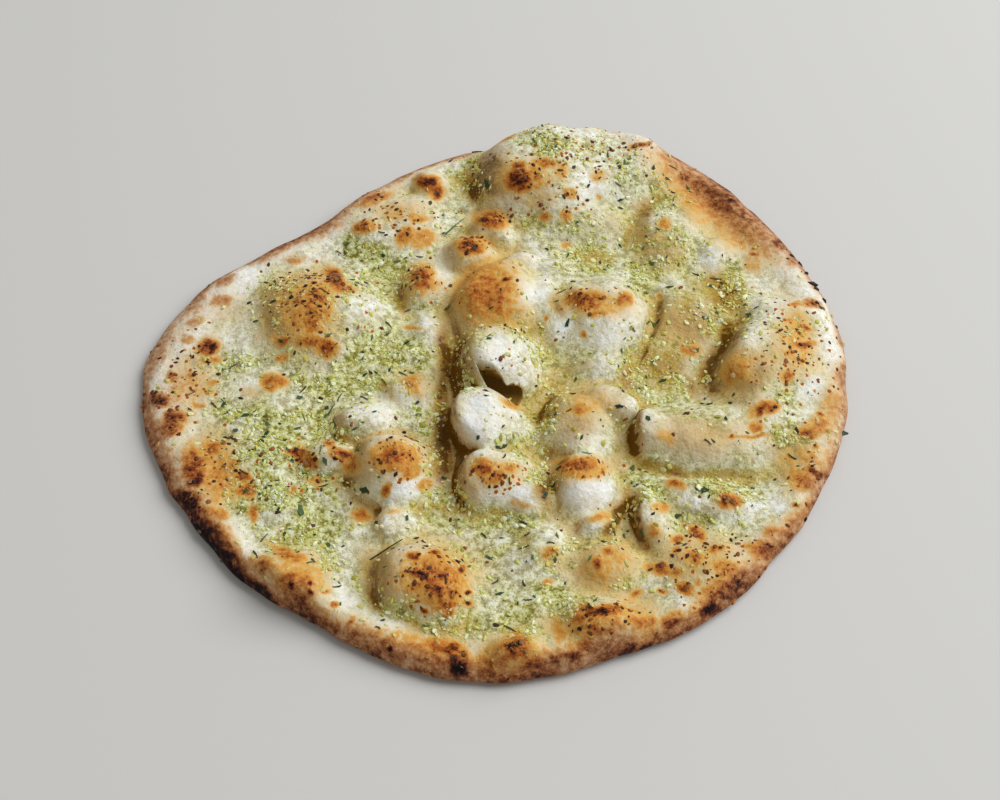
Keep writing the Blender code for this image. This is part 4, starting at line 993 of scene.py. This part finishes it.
def lay_out(name, template, places, normals, sizes, draw, unevenness, along=None, tilt=0.0):
    """Copies of one small shape, each of its own size, laid on the crust and joined in one mesh."""
    shape, shape_faces = template
    count = len(places)
    normals = normals + tilt * draw.normal(size=(count, 3))
    normals /= np.linalg.norm(normals, axis=1, keepdims=True)
    if along is None:
        along = draw.normal(size=(count, 3))
    along = along - (along * normals).sum(axis=1, keepdims=True) * normals
    along /= np.linalg.norm(along, axis=1, keepdims=True)
    across = np.cross(normals, along)
    frames = np.stack([along, across, normals], axis=1)
    copies = shape[None] * (1 + unevenness * draw.uniform(-1, 1, (count,) + shape.shape))
    copies = (copies * sizes[:, None, :]) @ frames + places[:, None, :]
    faces = shape_faces[None] + (np.arange(count) * len(shape))[:, None, None]
    mesh = bpy.data.meshes.new(name)
    mesh.from_pydata((copies.reshape(-1, 3) * MM).tolist(), [], faces.reshape(-1, 3).tolist())
    mesh.update()
    return new_object(name, mesh)


def mark_copies(obj, points_each, **marks):
    """Gives every point of each copy the value that the copy has."""
    set_marks(obj.data, {name: np.repeat(values, points_each) for name, values in marks.items()})


def build_garlic(crust, name, template, count, lengths, seed):
    """Minced garlic of one coarseness, thick in its zones and thin elsewhere."""
    draw = np.random.default_rng(seed)
    seen_x, seen_y = seen_places(crust.middles)
    wide_length, small_length = GARLIC_CLUMPS
    wide_clumps = np.clip(0.55 + 0.7 * waves(seen_x, seen_y, wide_length, 64), 0.0, 1.0)
    small_clumps = np.clip(0.5 + 0.6 * waves(seen_x, seen_y, small_length, 62), 0.0, 1.0) ** 2
    clumps = GARLIC_BETWEEN + wide_clumps * small_clumps
    bare = (1 - 0.85 * crust.marks["dry"]) * (1 - 0.75 * crust.marks["floury"])
    density = (crust.marks["herby"] ** 1.4 + GARLIC_EVERYWHERE) * clumps * bare
    places, normals, marks = crust.draw_places(density, count, draw)
    sizes = draw.uniform(*lengths, (count, 1)) * draw.uniform(*GARLIC_SHARES, (count, 3))
    places = places + normals * sizes[:, 2:] * GARLIC_LIFT
    garlic = lay_out(name, template, places, normals, sizes, draw, unevenness=0.3, tilt=0.35)
    # The garlic takes part of the crust's gold, which includes painted shade.
    toast = np.maximum(marks["toast"], GARLIC_GOLD_AND_SHADE * marks["golden"])
    mark_copies(garlic, len(template[0]), tint=draw.uniform(0, 1, count), toast=toast)
    return garlic


def build_flakes(crust):
    """Cilantro: the larger torn leaves at their own places, and small ones scattered with the garlic."""
    draw = np.random.default_rng(71)
    template = leaf_template()
    density = (crust.marks["herby"] + FLAKE_EVERYWHERE) * (1 - 0.8 * crust.marks["dry"])
    places, normals, _ = crust.draw_places(density, FLAKE_COUNT, draw)
    long = draw.uniform(0, 1, FLAKE_COUNT) ** 2 * (FLAKE_SMALL[1] - FLAKE_SMALL[0]) + FLAKE_SMALL[0]
    along = draw.normal(size=(FLAKE_COUNT, 3))
    listed = [crust.at_seen(x, y) for x, y, _, _ in FLAKES]
    places = np.concatenate([[point for point, _ in listed], places])
    normals = np.concatenate([[normal for _, normal in listed], normals])
    long = np.concatenate([[length for _, _, length, _ in FLAKES], long])
    turns = np.radians([turn for _, _, _, turn in FLAKES])
    listed_along = np.stack([np.cos(turns), np.sin(turns), np.zeros(len(turns))], axis=-1)
    along = np.concatenate([listed_along, along])
    wide = long * draw.uniform(*FLAKE_WIDTHS, len(long))
    sizes = np.stack([long / 2, wide / 2, np.full(len(long), FLAKE_THICKNESS)], axis=-1)
    places = places + normals * FLAKE_THICKNESS * FLAKE_LIFT
    flakes = lay_out(
        "cilantro_flakes", template, places, normals, sizes, draw, unevenness=0.3, along=along, tilt=0.22
    )
    mark_copies(flakes, len(template[0]), tint=draw.uniform(0, 1, len(long)))
    return flakes


def build_stems(crust):
    """Cilantro stems: the long ones at their own places, and short pieces scattered with the leaves."""
    draw = np.random.default_rng(81)
    template = stem_template()
    density = crust.marks["herby"] + FLAKE_EVERYWHERE
    places, normals, _ = crust.draw_places(density, STEM_COUNT, draw)
    half_long = draw.uniform(*STEM_SMALL, STEM_COUNT) / 2
    along = draw.normal(size=(STEM_COUNT, 3))
    for (ax, ay), (mx, my), (bx, by) in STEMS:
        point, normal = crust.at_seen(mx, my)
        places = np.concatenate([[point], places])
        normals = np.concatenate([[normal], normals])
        along = np.concatenate([[[bx - ax, by - ay, 0.0]], along])
        half_long = np.concatenate([[math.hypot(bx - ax, by - ay) / 2], half_long])
    thick = STEM_RADIUS * draw.uniform(*STEM_THICKNESSES, len(half_long))
    sizes = np.stack([half_long, thick, thick], axis=-1)
    places = places + normals * STEM_RADIUS
    stems = lay_out(
        "cilantro_stems", template, places, normals, sizes, draw, unevenness=0.08, along=along, tilt=0.1
    )
    mark_copies(stems, len(template[0]), tint=draw.uniform(0, 1, len(half_long)))
    return stems


def build_crumbs(crust):
    """Burnt crumbs of garlic and herb: many on the freckled crust, and the black ones on the right edge."""
    draw = np.random.default_rng(91)
    template = ball_template()
    density = crust.marks["freckled"] ** 1.2 * (0.12 + crust.marks["toast"]) + CRUMB_EVERYWHERE
    places, normals, _ = crust.draw_places(density, CRUMB_COUNT, draw)
    long = draw.uniform(0, 1, CRUMB_COUNT) ** 1.6 * (CRUMB_LENGTHS[1] - CRUMB_LENGTHS[0]) + CRUMB_LENGTHS[0]
    listed = [crust.at_seen(x, y) for x, y, _ in EDGE_CRUMBS]
    places = np.concatenate([[point for point, _ in listed], places])
    normals = np.concatenate([[normal for _, normal in listed], normals])
    long = np.concatenate([[length for _, _, length in EDGE_CRUMBS], long])
    tint = np.concatenate([np.zeros(len(listed)), draw.uniform(0, 1, CRUMB_COUNT)])
    sizes = long[:, None] * draw.uniform(*CRUMB_SHARES, (len(long), 3))
    crumbs = lay_out("burnt_crumbs", template, places, normals, sizes, draw, unevenness=0.32, tilt=0.2)
    mark_copies(crumbs, len(template[0]), tint=tint)
    return crumbs


# The kinds of node that the materials use most.
NOISE = "ShaderNodeTexNoise"
MATH = "ShaderNodeMath"
SPREAD = "ShaderNodeMapRange"
MIX = "ShaderNodeMix"
RAMP = "ShaderNodeValToRGB"
ATTRIBUTE = "ShaderNodeAttribute"
BUMP = "ShaderNodeBump"

# Colours of the golden butter, which also paint shade on the flanks and in the hollows, then from pale to
# burnt on the buttered crust and on the dry rim.
GOLD_AND_SHADE = ((0.15, "#D9CC86"), (1.0, "#6C4606"), (0.42, "#CBA242"), (0.74, "#AE7C10"))
MOIST_TOAST = (
    (0.12, "#E2C586"), (1.0, "#1C0E09"), (0.3, "#DCAA56"), (0.46, "#CB8638"), (0.62, "#A85A22"),
    (0.76, "#713416"), (0.88, "#3E1C0E"),
)
DRY_TOAST = (
    (0.12, "#E4D6C4"), (1.0, "#160E0E"), (0.32, "#C8A07C"), (0.48, "#A9744C"), (0.64, "#7A4629"),
    (0.8, "#40211E"),
)
# What the dough's colours depend on, each from 0 to 1.
SHADED_MARKS = ("toast", "dry", "golden", "butter", "floury", "freckled", "hollow")


def linear(hex_colour):
    """An sRGB hex colour as linear red, green, blue and alpha."""
    parts = [int(hex_colour[i : i + 2], 16) / 255 for i in (1, 3, 5)]
    return tuple(p / 12.92 if p <= 0.04045 else ((p + 0.055) / 1.055) ** 2.4 for p in parts) + (1.0,)


def add_node(tree, kind, inputs=None, stops=None, out=0, **settings):
    """Adds a node with its settings, its ramp's stops, its inputs' values or links, and gives one output."""
    node = tree.nodes.new(kind)
    for name, value in settings.items():
        setattr(node, name, value)
    for index, (place, colour) in enumerate(stops or ()):
        elements = node.color_ramp.elements
        element = elements[index] if index < 2 else elements.new(place)
        element.position = place
        element.color = linear(colour)
    for name, value in (inputs or {}).items():
        if isinstance(value, bpy.types.NodeSocket):
            tree.links.new(value, node.inputs[name])
        else:
            node.inputs[name].default_value = value
    return node.outputs[out]


def new_material(name):
    """An empty material with its tree, its Principled shader and the object's own coordinates."""
    material = bpy.data.materials.new(name)
    material.use_nodes = True
    tree = material.node_tree
    shader = tree.nodes["Principled BSDF"]
    place = add_node(tree, "ShaderNodeTexCoord", out="Object")
    return material, tree, shader, place


def crumb_noises(tree, place):
    """The grain, the mottle and the patches of the dough, and how high each place of the crumb lies."""
    # The grain of the crumb is about 0.4 mm and is drawn at 1 mm, so that it shows.
    grain = add_node(tree, NOISE, {"Vector": place, "Scale": 1 / (1.0 * MM), "Detail": 2.0})
    mottle = add_node(tree, NOISE, {"Vector": place, "Scale": 1 / (3.4 * MM), "Detail": 3.0})
    patches = add_node(tree, NOISE, {"Vector": place, "Scale": 1 / (14.0 * MM), "Detail": 3.0})
    crumb = add_node(tree, MATH, {0: grain, 1: 0.6, 2: mottle}, operation="MULTIPLY_ADD")
    high = add_node(tree, SPREAD, {0: crumb, 1: 0.65, 2: 0.95})
    return grain, mottle, patches, high


def pale_crust(tree, marks, patches, high):
    """Flour and set dough: white on the high places of the crumb, creamy in the low ones."""
    patch = add_node(tree, SPREAD, {0: patches, 1: 0.4, 2: 0.64})
    whites = {0: patch, 6: linear("#FDFEFC"), 7: linear("#F5F1E2")}
    white = add_node(tree, MIX, whites, out=2, data_type="RGBA")
    # Floury places, some of them painted light on the lit sides of bubbles, keep less of the creamy colour.
    depth = add_node(tree, SPREAD, {0: marks["floury"], 1: 0.0, 2: 0.9, 3: 0.62, 4: 0.16})
    low = add_node(tree, MIX, {0: depth, 6: white, 7: linear("#CDB97A")}, out=2, data_type="RGBA")
    return add_node(tree, MIX, {0: high, 6: low, 7: white}, out=2, data_type="RGBA")


def buttery_crust(tree, marks, noises):
    """Butter over the pale crust: yellow and olive where herbs soaked it, golden in hollows and on flanks,
    where the gold is also painted shade.
    It collects in the low places of the crumb, and the high places stay pale."""
    _, mottle, patches, high = noises
    pale = pale_crust(tree, marks, patches, high)
    soaked = add_node(tree, RAMP, {"Fac": high}, ((0.0, "#766E18"), (1.0, "#E2E4B6"), (0.5, "#BCBA66")))
    patch_gain = add_node(tree, SPREAD, {0: patches, 1: 0.3, 2: 0.7, 3: 0.6, 4: 1.4})
    patchy = add_node(tree, MATH, {0: marks["butter"], 1: patch_gain}, operation="MULTIPLY")
    butter = add_node(tree, SPREAD, {0: patchy, 1: 0.12, 2: 0.85, 3: 0.0, 4: 0.95})
    buttered = add_node(tree, MIX, {0: butter, 6: pale, 7: soaked}, out=2, data_type="RGBA")
    mottle_gain = add_node(tree, SPREAD, {0: mottle, 1: 0.3, 2: 0.7, 3: 0.75, 4: 1.25})
    # Gold of the butter, with painted shade on the left flanks and in the hollows.
    mottled = add_node(tree, MATH, {0: marks["golden"], 1: mottle_gain}, operation="MULTIPLY")
    gold_and_shade = add_node(tree, SPREAD, {0: mottled, 1: 0.08, 2: 0.7})
    gold_colour = add_node(tree, RAMP, {"Fac": gold_and_shade}, GOLD_AND_SHADE)
    colour = add_node(tree, MIX, {0: gold_and_shade, 6: buttered, 7: gold_colour}, out=2, data_type="RGBA")
    return colour, add_node(tree, MATH, {0: butter, 1: gold_and_shade}, operation="MAXIMUM")


def toast_level(tree, place, marks, noises):
    """How browned each place is: the marks broken up by mottle and grain, with freckles about 2 mm across."""
    grain, mottle, _, _ = noises
    mottle_gain = add_node(tree, SPREAD, {0: mottle, 1: 0.3, 2: 0.7, 3: 0.66, 4: 1.28})
    grain_gain = add_node(tree, SPREAD, {0: grain, 1: 0.3, 2: 0.7, 3: 0.86, 4: 1.14})
    gain = add_node(tree, MATH, {0: mottle_gain, 1: grain_gain}, operation="MULTIPLY")
    toast = add_node(tree, MATH, {0: marks["toast"], 1: gain}, operation="MULTIPLY")
    cells = add_node(tree, "ShaderNodeTexVoronoi", {"Vector": place, "Scale": 1 / (3.8 * MM)}).node
    draw = add_node(tree, "ShaderNodeSeparateColor", {0: cells.outputs["Color"]})
    picked = add_node(tree, MATH, {0: marks["freckled"], 1: draw}, operation="GREATER_THAN")
    reach = add_node(tree, MATH, {0: grain, 1: 0.35, 2: cells.outputs["Distance"]}, operation="MULTIPLY_ADD")
    spot = add_node(tree, SPREAD, {0: reach, 1: 0.52, 2: 0.38, 3: 0.0, 4: 0.62})
    freckle = add_node(tree, MATH, {0: spot, 1: picked}, operation="MULTIPLY")
    return add_node(tree, MATH, {0: toast, 1: freckle}, operation="MAXIMUM")


def baked_dough_material():
    """Leavened wheat dough blistered in a very hot oven: floury white where it stayed pale and painted light
    on lit sides, yellow and golden under the butter with painted shade on the left flanks, in hollows and in
    the tear, tan to black on the blisters, and drier, duskier browns round the rim, darker below with painted
    shade."""
    material, tree, shader, place = new_material("baked_dough")
    marks = {name: add_node(tree, ATTRIBUTE, out="Fac", attribute_name=name) for name in SHADED_MARKS}
    noises = crumb_noises(tree, place)
    grain, mottle, _, _ = noises
    untoasted, wet = buttery_crust(tree, marks, noises)
    level = toast_level(tree, place, marks, noises)
    moist_toast = add_node(tree, RAMP, {"Fac": level}, MOIST_TOAST)
    dry_toast = add_node(tree, RAMP, {"Fac": level}, DRY_TOAST)
    toasted = add_node(tree, MIX, {0: marks["dry"], 6: moist_toast, 7: dry_toast}, out=2, data_type="RGBA")
    cover = add_node(tree, SPREAD, {0: level, 1: 0.08, 2: 0.3})
    outside = add_node(tree, MIX, {0: cover, 6: untoasted, 7: toasted}, out=2, data_type="RGBA")
    # Painted shade: the wall of the hollow under the tear is dark golden brown.
    painted_shade_inside = {0: marks["hollow"], 6: outside, 7: linear("#94702F")}
    tree.links.new(add_node(tree, MIX, painted_shade_inside, out=2, data_type="RGBA"), shader.inputs["Base Color"])

    # Butter makes the herby and golden parts shinier than the floury ones.
    roughness = add_node(tree, SPREAD, {0: wet, 1: 0.0, 2: 0.9, 3: 0.62, 4: 0.36})
    tree.links.new(roughness, shader.inputs["Roughness"])
    shader.inputs["Specular IOR Level"].default_value = 0.1
    shader.inputs["Subsurface Weight"].default_value = 0.1
    shader.inputs["Subsurface Radius"].default_value = (1.0, 0.62, 0.32)
    shader.inputs["Subsurface Scale"].default_value = 2.0 * MM

    fine = add_node(tree, BUMP, {"Height": grain, "Strength": 0.35, "Distance": 0.3 * MM})
    coarse = add_node(tree, BUMP, {"Height": mottle, "Strength": 0.75, "Distance": 1.5 * MM, "Normal": fine})
    tree.links.new(coarse, shader.inputs["Normal"])
    return material


def topping_material(name, stops, roughness, subsurface, toasted=None):
    """Shared by the small toppings: a colour for each bit, from its tint, and a fine uneven surface."""
    material, tree, shader, place = new_material(name)
    tint = add_node(tree, ATTRIBUTE, out="Fac", attribute_name="tint")
    colour = add_node(tree, RAMP, {"Fac": tint}, stops)
    if toasted:
        level = add_node(tree, ATTRIBUTE, out="Fac", attribute_name="toast")
        browned = add_node(tree, RAMP, {"Fac": level}, toasted)
        amount = add_node(tree, SPREAD, {0: level, 1: 0.15, 2: 0.5, 3: 0.0, 4: 0.9})
        colour = add_node(tree, MIX, {0: amount, 6: colour, 7: browned}, out=2, data_type="RGBA")
    tree.links.new(colour, shader.inputs["Base Color"])
    shader.inputs["Roughness"].default_value = roughness
    shader.inputs["Specular IOR Level"].default_value = 0.3
    shader.inputs["Subsurface Weight"].default_value = subsurface
    shader.inputs["Subsurface Radius"].default_value = (1.0, 0.9, 0.4)
    shader.inputs["Subsurface Scale"].default_value = 1.0 * MM
    # The fibres are about 0.2 mm and are drawn at 0.4 mm, so that they show.
    fibre = add_node(tree, NOISE, {"Vector": place, "Scale": 1 / (0.4 * MM), "Detail": 2.0})
    bump = add_node(tree, BUMP, {"Height": fibre, "Strength": 0.5, "Distance": 0.1 * MM})
    tree.links.new(bump, shader.inputs["Normal"])
    return material


def garlic_material():
    """Minced garlic in herb butter: pale yellow-green and wet, golden where the crust browned and where the
    crust's painted shade lies.
    """
    stops = ((0.0, "#F2F3CE"), (1.0, "#A6A840"), (0.4, "#DFE29C"), (0.72, "#C8CA6C"), (0.88, "#D6C45C"))
    toasted = ((0.2, "#D9BC5C"), (1.0, "#4A2412"), (0.55, "#B9752C"), (0.75, "#8A4A1C"))
    return topping_material("minced_garlic", stops, 0.5, 0.6, toasted)


def leaf_material():
    """Chopped cilantro leaf, baked dry: dark, a little blue-green, some of it olive."""
    stops = ((0.0, "#1F372A"), (1.0, "#5F6F2C"), (0.4, "#2F4A2A"), (0.75, "#465F2C"))
    return topping_material("baked_cilantro", stops, 0.5, 0.0)


def stem_material():
    """Cilantro stem, baked dry: olive to brown."""
    stops = ((0.0, "#2A2E1C"), (1.0, "#5E6A30"), (0.5, "#3F4C26"))
    return topping_material("baked_stem", stops, 0.5, 0.0)


def burnt_material():
    """Garlic and herb burnt on the crust: black-brown to red-brown."""
    stops = ((0.0, "#22120C"), (1.0, "#A8642A"), (0.3, "#46200F"), (0.65, "#7A4018"))
    return topping_material("burnt_garlic", stops, 0.55, 0.0)


def add_camera():
    data = bpy.data.cameras.new("camera")
    data.lens = CAMERA_LENS_MM
    camera = bpy.data.objects.new("camera", data)
    bpy.context.scene.collection.objects.link(camera)
    camera.location = EYE * MM
    camera.rotation_euler = (math.pi / 2 - CAMERA_ELEVATION, 0.0, 0.0)
    bpy.context.scene.camera = camera


def add_area_light(name, place, size, power, colour):
    data = bpy.data.lights.new(name, "AREA")
    data.shape = "DISK"
    data.size = size
    data.energy = power
    data.color = linear(colour)[:3]
    light = bpy.data.objects.new(name, data)
    light.location = place
    light.rotation_euler = (-Vector(place)).to_track_quat("-Z", "Y").to_euler()
    bpy.context.scene.collection.objects.link(light)


def add_light_and_floor():
    add_area_light("window", place=(2.3, 0.9, 2.6), size=3.4, power=130.0, colour="#F8FBFF")
    world = bpy.data.worlds.new("soft room")
    world.use_nodes = True
    background = world.node_tree.nodes["Background"]
    background.inputs["Color"].default_value = linear("#F1F0EC")
    background.inputs["Strength"].default_value = 0.36
    bpy.context.scene.world = world
    bpy.ops.mesh.primitive_plane_add(size=FLOOR_SIDE)
    floor = bpy.context.object
    floor.name = "floor"
    floor.location.z = -FLOOR_GAP * MM
    material = bpy.data.materials.new("floor_matt")
    material.use_nodes = True
    shader = material.node_tree.nodes["Principled BSDF"]
    shader.inputs["Base Color"].default_value = linear("#D6D4D0")
    shader.inputs["Roughness"].default_value = 0.8
    floor.data.materials.append(material)
    bpy.context.scene.view_settings.view_transform = "Standard"


add_camera()
bread = build_bread()
bread_marks = crust_marks(*mesh_places(bread.data, "vertices"))
set_marks(bread.data, {name: bread_marks[name] for name in SHADED_MARKS})
crust = Crust(bread.data)
garlic = garlic_material()
pieces = (
    (bread, baked_dough_material()),
    (build_garlic(crust, "garlic_chips", chip_template(), GARLIC_FINE_COUNT, GARLIC_FINE, 61), garlic),
    (build_garlic(crust, "garlic_bits", ball_template(), GARLIC_COARSE_COUNT, GARLIC_COARSE, 63), garlic),
    (build_flakes(crust), leaf_material()),
    (build_stems(crust), stem_material()),
    (build_crumbs(crust), burnt_material()),
)
for piece, material in pieces:
    piece.data.materials.append(material)
    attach(piece, "root")
    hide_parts("naan")
add_light_and_floor()
